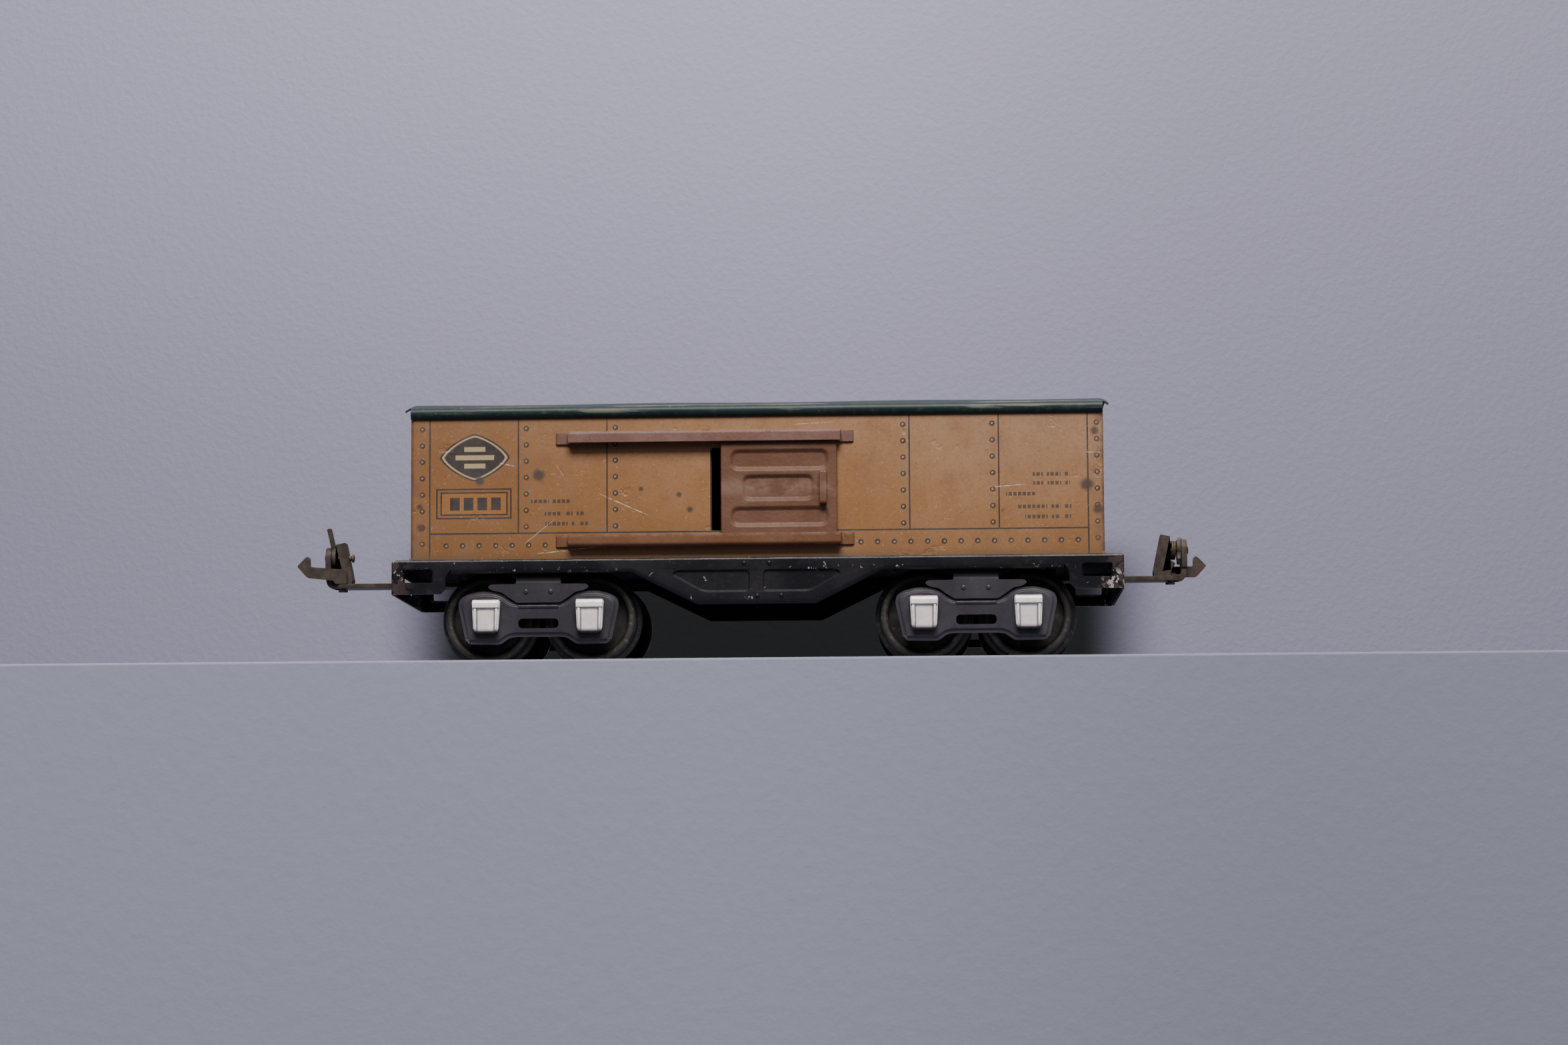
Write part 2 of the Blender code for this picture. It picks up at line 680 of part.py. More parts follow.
def coupler_bar(name, shift):
    """The drawbar strip, with a leaning rear plate and a round-headed front plate bent up from it."""
    end_x = FRONT_PLATE_X + shift + 0.8
    bends = [math.pi * i / 8 for i in range(9)]
    turn = [(COUPLER_PIVOT_X - BAR_HALF_WIDTH * math.sin(a), BAR_HALF_WIDTH * math.cos(a)) for a in bends]
    radius = COUPLER_RIVET_RADIUS + PIVOT_CLEARANCE
    angles = [math.tau * i / 16 for i in range(16)]
    hole = [(COUPLER_PIVOT_X + radius * math.cos(a), radius * math.sin(a)) for a in angles]
    shoulder = end_x - 3.0
    nose = [(shoulder, -BAR_HALF_WIDTH), (end_x, -2.4), (end_x, 2.4), (shoulder, BAR_HALF_WIDTH)]
    outline = [*turn, *nose]
    middle = (BAR_BOTTOM + BAR_TOP) / 2
    bar = plate(name, outline, BAR_TOP - BAR_BOTTOM, "XY", middle, (hole,))
    foot = REAR_PLATE_X + shift
    lean = [
        (foot, BAR_BOTTOM + 0.1),
        (foot + 2.4, BAR_BOTTOM + 0.1),
        (foot + 1.3, BAR_TOP + 1.6),
        (foot + REAR_PLATE_LEAN + 0.8, REAR_PLATE_TOP),
        (foot + REAR_PLATE_LEAN, REAR_PLATE_TOP),
    ]
    rear = plate("rear", lean, 4.8, "XZ", 0)
    front_x = FRONT_PLATE_X + shift
    neck = box("neck", (front_x, -2.0, BAR_BOTTOM), (front_x + 0.8, 2.0, HEAD_PIN_Z))
    disc = cylinder("disc", DISC_RADIUS, front_x, front_x + 0.8, "X", (0, HEAD_PIN_Z))
    bore = cylinder("bore", 0.8, foot - 1, front_x + 3, "X", (0, HEAD_PIN_Z), 12)
    return cut(join(bar, rear, neck, disc), bore)


def hook_outline(root, notch, tip, foot, low, tilt):
    """The side view of the hook: a shaft that rises by tilt from its foot to an arrow head."""
    high = low + 2.5
    return [
        (root, foot),
        (root + FOOT_LENGTH, foot),
        (root + FOOT_LENGTH + 0.1, low),
        (notch + 0.7, low + tilt),
        (tip, high + tilt + 0.1),
        (notch + 0.6, high + tilt + 2.5),
        (notch + 0.1, high + tilt + 2.2),
        (notch, high + tilt),
        (root, high),
    ]


def spring_points(start, end, turns, radius, centre_z):
    steps = int(turns * 12)
    points = []
    for step in range(steps + 1):
        share = step / steps
        angle = math.tau * turns * share
        points.append(
            (start + (end - start) * share, radius * math.sin(angle), centre_z + radius * math.cos(angle))
        )
    return points


def make_coupler(end, half_turn, shift, hook_reach, hook_low, hook_tilt, lever_angle):
    """shift moves the head outwards, and lever_angle is how far over the latch lever stands."""
    sign = -1 if half_turn else 1
    swing = pivot(f"coupler_{end}", (sign * COUPLER_PIVOT_X, 0, BAR_TOP))
    home = Matrix.Translation([-value * MM for value in (COUPLER_PIVOT_X, 0, BAR_TOP)])

    def settle(obj, look):
        obj.data.transform(home)
        finish(obj, look, swing, half_turn)

    bar = coupler_bar(f"coupler_bar_{end}", shift)
    front_x = FRONT_PLATE_X + shift
    root = front_x - 4.3
    tip = front_x + 0.8 + hook_reach
    foot_low = BAR_TOP + GAP
    outline = hook_outline(root, tip - 3.1, tip, foot_low - 0.05, hook_low, hook_tilt)
    hook = plate(f"coupler_hook_{end}", outline, HOOK_THICKNESS, "XZ", HOOK_Y)
    foot = box("foot", (root + 0.05, -1.2, foot_low), (root + FOOT_LENGTH - 0.05, HOOK_Y, foot_low + 0.7))
    rivet_x, rivet_y = root + FOOT_LENGTH / 2, 0.2
    hole = cylinder("hole", 0.8, foot_low - 1, foot_low + 2, "Z", (rivet_x, rivet_y), 12)
    hole_below = cylinder("hole", 0.8, BAR_BOTTOM - 1, BAR_TOP + 0.1, "Z", (rivet_x, rivet_y), 12)
    hook = cut(join(hook, foot), hole)
    bar = cut(bar, hole_below)
    settle(bar, "coupler_steel")
    settle(hook, "coupler_steel")
    centre = (rivet_x, rivet_y)
    shank = cylinder(f"hook_rivet_{end}", 0.6, BAR_BOTTOM - 0.5, foot_low + 1.3, "Z", centre, 12)
    head = cylinder("head", 1.1, foot_low + 0.9, foot_low + 1.5, "Z", centre, 12, 0.7)
    upset = cylinder("upset", 1.1, BAR_BOTTOM - 0.7, BAR_BOTTOM - 0.2, "Z", centre, 12)
    settle(join(shank, head, upset), "axle_steel")

    rear_at_pin = REAR_PLATE_X + shift + REAR_PLATE_LEAN
    pin = cylinder(f"latch_pin_{end}", 0.6, rear_at_pin - 2.4, front_x + 1.3, "X", (0, HEAD_PIN_Z), 12)
    heads = [
        cylinder("head", 1.1, front_x + 0.9, front_x + 1.4, "X", (0, HEAD_PIN_Z), 12),
        cylinder("tail", 1.0, rear_at_pin - 2.5, rear_at_pin - 1.6, "X", (0, HEAD_PIN_Z), 12),
    ]
    settle(join(pin, *heads), "brass")

    curve = bpy.data.curves.new("spring", "CURVE")
    curve.dimensions = "3D"
    curve.bevel_depth = SPRING_WIRE / 2 * MM
    curve.bevel_resolution = 1
    curve.use_fill_caps = True
    spline = curve.splines.new("POLY")
    points = spring_points(rear_at_pin + 1.25, front_x - 1.75, SPRING_TURNS, 1.9, HEAD_PIN_Z)
    spline.points.add(len(points) - 1)
    for point, place in zip(spline.points, points):
        point.co = (*[value * MM for value in place], 1)
    settle(as_mesh(linked(f"latch_spring_{end}", curve)), "brass")

    latch_x = front_x - 1.3
    hinge = pivot(f"latch_{end}", (0, 0, 0), swing)
    disc = cylinder(f"latch_lever_{end}", DISC_RADIUS, latch_x, latch_x + 0.7, "X", (0, HEAD_PIN_Z))
    rise = (LEVER_TOP - HEAD_PIN_Z) * LEVER_LEAN / 7
    drop = (HEAD_PIN_Z - LEVER_BOTTOM) * 0.05
    strap = [
        (latch_x - drop, LEVER_BOTTOM),
        (latch_x - drop + 0.7, LEVER_BOTTOM),
        (latch_x + 0.7, HEAD_PIN_Z + DISC_RADIUS - 0.5),
        (latch_x + rise + 0.7, LEVER_TOP),
        (latch_x + rise, LEVER_TOP),
        (latch_x, HEAD_PIN_Z + DISC_RADIUS - 0.5),
    ]
    lever = join(disc, plate("strap", strap, 2.0, "XZ", 0))
    lever = cut(lever, cylinder("bore", 0.85, latch_x - 2, latch_x + 3, "X", (0, HEAD_PIN_Z), 12))
    to_pin = Matrix.Translation((0, 0, HEAD_PIN_Z * MM))
    lean = Matrix.Rotation(math.radians(lever_angle), 4, "X")
    lever.data.transform(to_pin @ lean @ to_pin.inverted())
    lever.data.transform(home)
    finish(lever, "coupler_steel", hinge, half_turn)

    x = sign * COUPLER_PIVOT_X
    rivet(f"coupler_rivet_{end}", COUPLER_RIVET_RADIUS, x, FRAME_TOP + GAP, BAR_BOTTOM - GAP, 2.4)
    tube(
        f"coupler_spacer_{end}",
        COUPLER_RIVET_RADIUS + GAP,
        2.6,
        x,
        BAR_TOP + GAP,
        FRAME_TOP - SHEET - GAP,
        "axle_steel",
    )


# ---------------------------------------------------------------- the car


def main():
    start_scene()
    make_materials()
    make_underframe()
    make_body()
    make_roof()
    for side, half_turn in (("front", False), ("back", True)):
        door_guide(f"door_guide_upper_{side}", UPPER_GUIDE_TOP - GUIDE_FACE, True, half_turn)
        door_guide(f"door_guide_lower_{side}", LOWER_GUIDE_BOTTOM, False, half_turn)
        make_door(side, half_turn)
    make_truck("left", -1)
    make_truck("right", 1)
    make_coupler("left", True, 3.1, 6.5, 21.9, 0.7, 0)
    make_coupler("right", False, 0, 4.8, 21.2, 0, -52)


main()
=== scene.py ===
import math

import bmesh
import bpy
from mathutils import Matrix, Vector


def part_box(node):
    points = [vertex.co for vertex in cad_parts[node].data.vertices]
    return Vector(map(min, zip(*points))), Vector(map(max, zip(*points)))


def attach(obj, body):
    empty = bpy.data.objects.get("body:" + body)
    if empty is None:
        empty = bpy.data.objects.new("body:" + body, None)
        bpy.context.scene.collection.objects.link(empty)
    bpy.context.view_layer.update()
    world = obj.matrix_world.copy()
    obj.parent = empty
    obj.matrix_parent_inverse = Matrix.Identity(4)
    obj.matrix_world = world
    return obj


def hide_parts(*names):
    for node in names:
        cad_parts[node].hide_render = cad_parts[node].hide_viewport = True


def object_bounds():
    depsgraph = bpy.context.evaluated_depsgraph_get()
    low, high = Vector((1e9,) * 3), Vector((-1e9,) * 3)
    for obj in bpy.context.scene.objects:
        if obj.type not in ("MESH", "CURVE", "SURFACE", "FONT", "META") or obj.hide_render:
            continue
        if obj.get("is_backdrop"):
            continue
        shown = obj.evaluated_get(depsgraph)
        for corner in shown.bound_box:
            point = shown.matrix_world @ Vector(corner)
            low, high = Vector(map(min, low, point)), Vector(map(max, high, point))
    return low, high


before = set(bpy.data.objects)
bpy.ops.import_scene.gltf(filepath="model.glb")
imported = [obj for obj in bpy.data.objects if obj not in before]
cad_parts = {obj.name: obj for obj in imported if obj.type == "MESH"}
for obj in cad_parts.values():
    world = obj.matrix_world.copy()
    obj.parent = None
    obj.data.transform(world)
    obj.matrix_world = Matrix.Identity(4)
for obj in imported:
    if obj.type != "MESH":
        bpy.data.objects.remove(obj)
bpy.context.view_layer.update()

# ---- Camera
# It stands a little to the right of the car's middle and below the shelf, and looks up at it.
MM = 0.001
bpy.ops.object.camera_add(
    location=(39.8 * MM, -871.2 * MM, -55.0 * MM),
    rotation=(math.radians(95.868), math.radians(0.361), math.radians(2.307)),
)
camera = bpy.context.object
camera.name = "camera"
camera.data.lens = 86.77
camera.data.sensor_width = 36
camera.data.clip_start = 0.05
camera.data.clip_end = 20
bpy.context.scene.camera = camera

# ---- Underframe
# One tray of black enamelled steel: a floor, two fish-bellied sides with pressed panels, and
# deep ends that the drawbars pass through. Its edges are bent round and rubbed bright.


def size_of(node):
    """The lowest and highest corner of a solid, in millimetres."""
    low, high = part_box(node)
    return low / MM, high / MM


def deselect():
    bpy.ops.object.select_all(action="DESELECT")


def only(obj):
    """Makes this the one object that is selected and active."""
    deselect()
    obj.select_set(True)
    bpy.context.view_layer.objects.active = obj


def made(name):
    """The object that an operator has just made, named."""
    obj = bpy.context.object
    obj.name = obj.data.name = name
    return obj


def settle():
    """Applies the place, turn and size of the object that was made to its mesh."""
    bpy.ops.object.transform_apply(location=True, rotation=True, scale=True)


def set_mode(mode):
    bpy.ops.object.mode_set(mode=mode)


def select_mesh(action="SELECT"):
    bpy.ops.mesh.select_all(action=action)


def face_outwards():
    select_mesh()
    bpy.ops.mesh.normals_make_consistent(inside=False)


def extrude(move=(0, 0, 0)):
    """Extrudes what is selected in the mesh being edited, in millimetres."""
    step = tuple(value * MM for value in move)
    bpy.ops.mesh.extrude_region_move(TRANSFORM_OT_translate={"value": step})


def outline_object(name, outline):
    """A closed wire in the XY plane, made from a circle with a vertex for each point."""
    deselect()
    bpy.ops.mesh.primitive_circle_add(vertices=len(outline), radius=MM, fill_type="NOTHING")
    wire = made(name)
    for vertex, (a, b) in zip(wire.data.vertices, outline):
        vertex.co = (a * MM, b * MM, 0)
    return wire


def add_loop(wire, outline, height=0):
    """Adds a further closed wire to the mesh being edited, and leaves only it selected."""
    select_mesh("DESELECT")
    bpy.ops.mesh.primitive_circle_add(vertices=len(outline), radius=MM, fill_type="NOTHING")
    mesh = bmesh.from_edit_mesh(wire.data)
    for vertex, (a, b) in zip([v for v in mesh.verts if v.select], outline):
        vertex.co = (a * MM, b * MM, height * MM)
    bmesh.update_edit_mesh(wire.data)


def inset(outline, distance):
    """The outline moved inwards, corner by corner."""
    after = outline[1:] + outline[:1]
    area = sum(a[0] * b[1] - b[0] * a[1] for a, b in zip(outline, after))
    hand = 1 if area > 0 else -1
    made = []
    for before, here, later in zip(outline[-1:] + outline[:-1], outline, after):
        first = (Vector(here) - Vector(before)).normalized()
        second = (Vector(later) - Vector(here)).normalized()
        sides = [Vector((-run.y, run.x)) * hand for run in (first, second)]
        shift = (sides[0] + sides[1]) / max(1 + sides[0].dot(sides[1]), 0.35) * distance
        made.append((here[0] + shift.x, here[1] + shift.y))
    return made


def rounded(points, radius, steps=4):
    """The outline with an arc in place of each corner. A radius may be given for each."""
    made = []
    for i, (x, y) in enumerate(points):
        wanted = radius[i] if isinstance(radius, (list, tuple)) else radius
        if wanted == 0:
            made.append((x, y))
            continue
        ends = []
        for other in (points[i - 1], points[(i + 1) % len(points)]):
            run = math.dist((x, y), other)
            share = min(wanted, run * 0.48) / run
            ends.append((x + (other[0] - x) * share, y + (other[1] - y) * share))
        for step in range(steps + 1):
            t = step / steps
            weights = ((1 - t) ** 2, 2 * t * (1 - t), t * t)
            corners = (ends[0], (x, y), ends[1])
            made.append(tuple(sum(w * c[k] for w, c in zip(weights, corners)) for k in (0, 1)))
    return made


def arc(radius, first, last, steps, x=0, y=0):
    """Points along an arc round a middle, from one angle in degrees to another."""
    angles = [math.radians(first + (last - first) * i / steps) for i in range(steps + 1)]
    return [(x + radius * math.cos(a), y + radius * math.sin(a)) for a in angles]


def rectangle(left, right, low, high):
    return [(left, low), (right, low), (right, high), (left, high)]


def both_ways(half):
    """A whole outline from its right half, which is listed from the top down to the bottom."""
    return half + [(-x, y) for x, y in reversed(half)]


def select_where(obj, chosen, kind="edges"):
    """Selects the vertices, edges or faces of the mesh being edited for which chosen is true."""
    select_mesh("DESELECT")
    mesh = bmesh.from_edit_mesh(obj.data)
    for item in getattr(mesh, kind):
        if chosen(item):
            item.select_set(True)
    mesh.select_flush_mode()
    bmesh.update_edit_mesh(obj.data)


def edges_where(obj, chosen):
    """Selects the border edges whose two ends both pass the test, given in millimetres."""
    bpy.ops.mesh.select_mode(type="EDGE")
    select_where(obj, lambda e: e.is_boundary and all(chosen(v.co / MM) for v in e.verts))


def face_front(obj):
    """Turns an open surface so that most of it faces +Z."""
    face_outwards()
    mesh = bmesh.from_edit_mesh(obj.data)
    if sum(f.normal.z * f.calc_area() for f in mesh.faces) < 0:
        bpy.ops.mesh.flip_normals()


def apply_modifier(obj, kind, **settings):
    only(obj)
    modifier = obj.modifiers.new(kind.lower(), kind)
    for key, value in settings.items():
        setattr(modifier, key, value)
    bpy.ops.object.modifier_apply(modifier=modifier.name)


def soften(obj, width, segments=2, angle=30):
    """Rounds the corners of a shape that are sharper than the angle."""
    sharp = {"limit_method": "ANGLE", "angle_limit": math.radians(angle)}
    apply_modifier(obj, "BEVEL", width=width * MM, segments=segments, **sharp)


def thicken(obj, thickness):
    """Gives a surface the thickness of its sheet, on the side away from its face."""
    apply_modifier(obj, "SOLIDIFY", thickness=thickness * MM, offset=-1)


def pressed_sheet(name, outline, holes=(), pressings=(), steps=5):
    """A flat surface that faces +Z, with holes and soft-sided pressings. Each pressing is its
    outline, how deep it goes, how wide its slope is, and the holes in its floor, or None if it
    has no floor and is a hole with its edge turned in."""
    sheet = outline_object(name, outline)
    set_mode("EDIT")
    for loop in (*holes, *(pressing[0] for pressing in pressings)):
        add_loop(sheet, loop)
    select_mesh()
    bpy.ops.mesh.fill(use_beauty=True)
    bpy.ops.mesh.select_mode(type="EDGE")
    for loop, depth, slope, floor_holes in pressings:

        def on_loop(vertex, loop=loop):
            here = vertex.co / MM
            return abs(here.z) < 0.001 and any(
                abs(here.x - a) < 0.002 and abs(here.y - b) < 0.002 for a, b in loop
            )

        select_where(sheet, lambda e: e.is_boundary and all(on_loop(v) for v in e.verts))
        here = loop
        for step in range(1, steps + 1):
            share = step / steps
            there = inset(loop, slope * share)
            level = -depth * (share * share * (3 - 2 * share)) * MM
            extrude()
            mesh = bmesh.from_edit_mesh(sheet.data)
            pairs = list(zip(here, there))
            for vertex in [v for v in mesh.verts if v.select]:
                spot = (vertex.co.x / MM, vertex.co.y / MM)
                a, b = min(pairs, key=lambda pair: math.dist(pair[0], spot))[1]
                vertex.co = (a * MM, b * MM, level)
            bmesh.update_edit_mesh(sheet.data)
            here = there
        if floor_holes is None:
            continue
        if not floor_holes:
            bpy.ops.mesh.edge_face_add()
            continue
        for hole in floor_holes:
            add_loop(sheet, hole, -depth)

        def at_level(vertex, level=level):
            return abs(vertex.co.z - level) < 0.001 * MM

        select_where(
            sheet,
            lambda e: (e.is_boundary or e.is_wire) and all(at_level(v) for v in e.verts),
        )
        bpy.ops.mesh.fill(use_beauty=True)
    face_front(sheet)
    set_mode("OBJECT")
    return sheet


def turn_edge(obj, chosen, moves):
    """Extrudes the chosen border edges by each move in turn, in millimetres."""
    set_mode("EDIT")
    edges_where(obj, chosen)
    for move in moves:
        extrude(move)
    set_mode("OBJECT")


def quarter_bend(out, into, radius, steps=4):
    """Moves that carry an edge round a quarter bend, from the direction out to into."""
    places = []
    for step in range(steps + 1):
        angle = math.pi / 2 * step / steps
        along, across = radius * math.sin(angle), radius * (1 - math.cos(angle))
        places.append(Vector(out) * along + Vector(into) * across)
    return [tuple(b - a) for a, b in zip(places, places[1:])]


TO_FRONT = Matrix(((1, 0, 0), (0, 0, -1), (0, 1, 0))).to_4x4()
TO_RIGHT = Matrix(((0, 0, 1), (1, 0, 0), (0, 1, 0))).to_4x4()
HALF_TURN = Matrix.Rotation(math.pi, 4, "Z")


def shift(x, y, z):
    return Matrix.Translation((x * MM, y * MM, z * MM))


def put(obj, *matrices):
    """Moves the mesh itself, so that its object stays at the origin."""
    for matrix in matrices:
        obj.data.transform(matrix)
    obj.data.update()
    return obj


def copy_of(obj, name, *matrices):
    """A second piece like the first, with a mesh of its own."""
    twin = obj.copy()
    twin.data = obj.data.copy()
    twin.name = twin.data.name = name
    bpy.context.collection.objects.link(twin)
    return put(twin, *matrices)


def joined(base, *others, weld=None):
    deselect()
    for obj in (base, *others):
        obj.select_set(True)
    bpy.context.view_layer.objects.active = base
    bpy.ops.object.join()
    if weld:
        set_mode("EDIT")
        select_mesh()
        bpy.ops.mesh.remove_doubles(threshold=weld * MM)
        bpy.ops.mesh.normals_make_consistent(inside=False)
        set_mode("OBJECT")
    return base


def finish_piece(obj, body, slot, finish, *nodes, angle=32):
    """Shades the piece, gives it its finish, and fixes it to the body that it moves with."""
    only(obj)
    bpy.ops.object.shade_smooth_by_angle(angle=math.radians(angle))
    apply_modifier(obj, "WEIGHTED_NORMAL", keep_sharp=True)
    obj.data.materials.clear()
    obj.data.materials.append(finish)
    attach(obj, body)
    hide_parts(*nodes)


def finish_both(front, body, slot, finish, node, there=Matrix.Identity(4), angle=32):
    """Finishes a front piece and its twin at the back, which is the front turned half round.
    Both are then moved to their place."""
    back_name, back_body, back_node = (
        text.replace("front", "back") for text in (front.name, body, node)
    )
    back = copy_of(front, back_name, HALF_TURN, there)
    finish_piece(put(front, there), body, slot, finish, node, angle=angle)
    finish_piece(back, back_body, slot, finish, back_node, angle=angle)


class Nodes:
    """Adds shader nodes to one tree. A node's inputs are given in order: a socket is linked, a
    value is set, and None leaves the input as it is."""

    def __init__(self, tree):
        self.tree = tree

    def feed(self, socket, value):
        if isinstance(value, bpy.types.NodeSocket):
            self.tree.links.new(value, socket)
        elif value is not None:
            socket.default_value = value

    def add(self, kind, *inputs, **settings):
        node = self.tree.nodes.new("ShaderNode" + kind)
        for key, value in settings.items():
            setattr(node, key, value)
        for socket, value in zip(node.inputs, inputs):
            self.feed(socket, value)
        return node

    def group(self, group, *inputs):
        return self.add("Group", *inputs, node_tree=group).outputs

    def maths(self, operation, first, *others):
        """One value made from one, from two, or from several taken two at a time."""
        for other in others or (None,):
            first = self.add("Math", first, other, operation=operation).outputs[0]
        return first

    def times(self, *values):
        return self.maths("MULTIPLY", *values)

    def plus(self, *values):
        return self.maths("ADD", *values)

    def minus(self, *values):
        return self.maths("SUBTRACT", *values)

    def least(self, *values):
        return self.maths("MINIMUM", *values)

    def most(self, *values):
        return self.maths("MAXIMUM", *values)

    def size(self, value):
        return self.maths("ABSOLUTE", value)

    def distance(self, a, b):
        return self.maths("SQRT", self.plus(self.times(a, a), self.times(b, b)))

    def fade(self, value, start, end):
        """A smooth step of a value from 0 to 1 as it goes from start to end."""
        node = self.add("MapRange", value, start, end, interpolation_type="SMOOTHSTEP")
        return node.outputs[0]

    def blend(self, share, first, second):
        return self.add("Mix", share, None, first, second).outputs[0]

    def blend_colour(self, share, first, second):
        node = self.add("Mix", share, data_type="RGBA")
        for socket, value in zip(node.inputs[6:8], (first, second)):
            self.feed(socket, (*value, 1) if isinstance(value, tuple) else value)
        return node.outputs[2]


class Finish(Nodes):
    """A material with one Principled shader. It knows the place of a point in millimetres, and
    its base colour is built up in washes."""

    def __init__(self, name):
        self.material = bpy.data.materials.new(name)
        self.material.use_nodes = True
        super().__init__(self.material.node_tree)
        place = self.add("TexCoord").outputs["Object"]
        self.place = self.scaled(place, 1000, 1000, 1000)
        self.x, self.y, self.z = self.add("SeparateXYZ", self.place).outputs

    def scaled(self, place, x, y, z):
        return self.add("VectorMath", place, (x, y, z), operation="MULTIPLY").outputs[0]

    def patches(self, size, level, softness, seed, place=None):
        return self.group(patches, place or self.place, size, level, softness, seed)[0]

    def band(self, value, line, width):
        return self.group(band, value, line, width)[0]

    def wash(self, mask, colour, amount=None):
        """Lays a colour over the base colour where the mask is."""
        share = mask if amount is None else self.times(mask, amount)
        self.base = self.blend_colour(share, self.base, colour)

    def stain(self, size, level, softness, seed, colour, amount=None):
        """Lays a colour over the base colour in ragged patches."""
        mask = self.patches(size, level, softness, seed)
        self.wash(mask, colour, amount)
        return mask

    def finish(self, roughness, height, strength, relief, **others):
        """Feeds the shader. The others are its sockets by name, with _ for a space."""
        shader = self.tree.nodes["Principled BSDF"]
        bump = self.add("Bump", strength, relief)
        self.feed(bump.inputs["Height"], height)
        others.update(Base_Color=self.base, Roughness=roughness, Normal=bump.outputs[0])
        for key, value in others.items():
            self.feed(shader.inputs[key.replace("_", " ")], value)
        return self.material


def new_group(name, inputs, outputs):
    """An empty node group: what adds nodes to it, its input sockets and its output sockets."""
    tree = bpy.data.node_groups.new(name, "ShaderNodeTree")
    for label, value in inputs.items():
        kind = "NodeSocketVector" if value is None else "NodeSocketFloat"
        socket = tree.interface.new_socket(label, in_out="INPUT", socket_type=kind)
        if value is not None:
            socket.default_value = value
    for label in outputs:
        tree.interface.new_socket(label, in_out="OUTPUT", socket_type="NodeSocketFloat")
    start, end = (tree.nodes.new("NodeGroup" + way) for way in ("Input", "Output"))
    return Nodes(tree), start.outputs, end.inputs


def make_patches_group():
    """Ragged patches of a chosen size, where a fractal noise rises above a level."""
    inputs = {"Place": None, "Size": 5.0, "Level": 0.6, "Softness": 0.05, "Seed": 0.0}
    n, start, end = new_group("patches", inputs, ("Mask", "Noise"))
    place, size, level, softness, seed = start[:5]
    seeds = n.add("CombineXYZ", seed, seed, seed).outputs[0]
    moved = n.add("VectorMath", place, seeds, operation="ADD").outputs[0]
    noise = n.add("TexNoise", moved, None, n.maths("DIVIDE", 1.0, size), 5.0, 0.6).outputs[0]
    n.feed(end[0], n.fade(noise, level, n.plus(level, softness)))
    n.feed(end[1], noise)
    return n.tree


def make_band_group():
    """How near a height is to a line: 1 on it, and 0 beyond the width."""
    n, start, end = new_group("band", {"Value": 0.0, "Line": 0.0, "Width": 1.0}, ("Mask",))
    value, line, width = start[:3]
    n.feed(end[0], n.fade(n.size(n.minus(value, line)), width, 0.0))
    return n.tree


patches = make_patches_group()
band = make_band_group()


def make_black_enamel(name, colour, dust, chip_level, top_edge=None):
    """Baked black enamel: slightly uneven, dusty, and chipped through to grey steel, and darkened to
    near black by painted shade where it lies inside or under other parts.
    With a top edge it is the frame's: rubbed there and along the sill, rusty at the ends, with
    painted shade in its tray and end pockets. Without one it is a truck's, with painted shade on the
    upper part of its bolster, under the frame."""
    n = Finish(name)
    cloud = n.patches(14.0, 0.35, 0.4, 3.0)
    n.base = n.blend_colour(n.times(cloud, dust), colour, (0.060, 0.056, 0.064))
    n.stain(1.6, 0.55, 0.2, 8.0, (0.12, 0.11, 0.11), 0.10)
    chips = n.patches(2.2, chip_level, 0.015, 21.0)
    if top_edge is None:
        # Painted shade over the upper part of the truck's bolster, where it lies under the frame.
        inside = n.fade(n.z, 18.6, 19.8)
    else:
        far_x, far_y = n.size(n.x), n.size(n.y)
        at_end = n.fade(far_x, 76.0, 81.5)
        n.wash(n.times(n.patches(2.6, 0.50, 0.03, 51.0), at_end), (0.070, 0.045, 0.040), 0.6)
        rubbed = n.times(n.band(n.z, top_edge, 0.15), n.patches(6.0, 0.36, 0.30, 33.0), 0.35)
        sill = n.times(n.patches(1.0, 0.61, 0.03, 62.0), n.patches(22.0, 0.47, 0.06, 63.0))
        sill = n.times(sill, n.band(n.z, SILL_BOTTOM + 0.7, 0.9))
        bare = n.times(n.patches(1.8, 0.63, 0.02, 77.0), at_end)
        foot = n.times(n.fade(n.x, 76.5, 80.0), n.fade(n.z, 21.5, 19.5), n.fade(far_y, 20.0, 24.0))
        bare_foot = n.times(n.patches(1.5, 0.54, 0.03, 79.0), foot)
        chips = n.most(chips, rubbed, sill, bare, bare_foot)
        # Painted shade inside the tray and inside the end pockets.
        shade_in_tray = n.times(n.fade(far_y, 25.3, 24.9), n.fade(n.z, 24.1, 23.9))
        shade_in_pockets = n.times(n.fade(far_x, 70.0, 71.0), n.fade(far_x, 81.8, 81.4))
        inside = n.most(shade_in_tray, n.times(shade_in_pockets, n.fade(far_y, 25.75, 25.5)))
    # The painted shade goes near black and rough.
    n.wash(inside, (0.003, 0.003, 0.004), 0.85)
    n.wash(chips, (0.32, 0.29, 0.28))
    rough = n.blend(inside, n.blend(chips, n.blend(cloud, 0.26, 0.38), 0.5), 0.95)
    height = n.minus(n.patches(0.9, 0.2, 0.6, 5.0), n.times(chips, 1.5))
    metal = n.blend(chips, 0.0, 0.2)
    return n.finish(rough, height, 0.25, 0.0001, Metallic=metal, Specular_IOR_Level=0.20)


frame_low, frame_high = size_of("underframe")
FRAME_BEND = 0.65
SILL_BEND = 1.1
POCKET_BOTTOM = 16.5
BELLY_HALF = 13.0
SILL_BOTTOM = 21.0

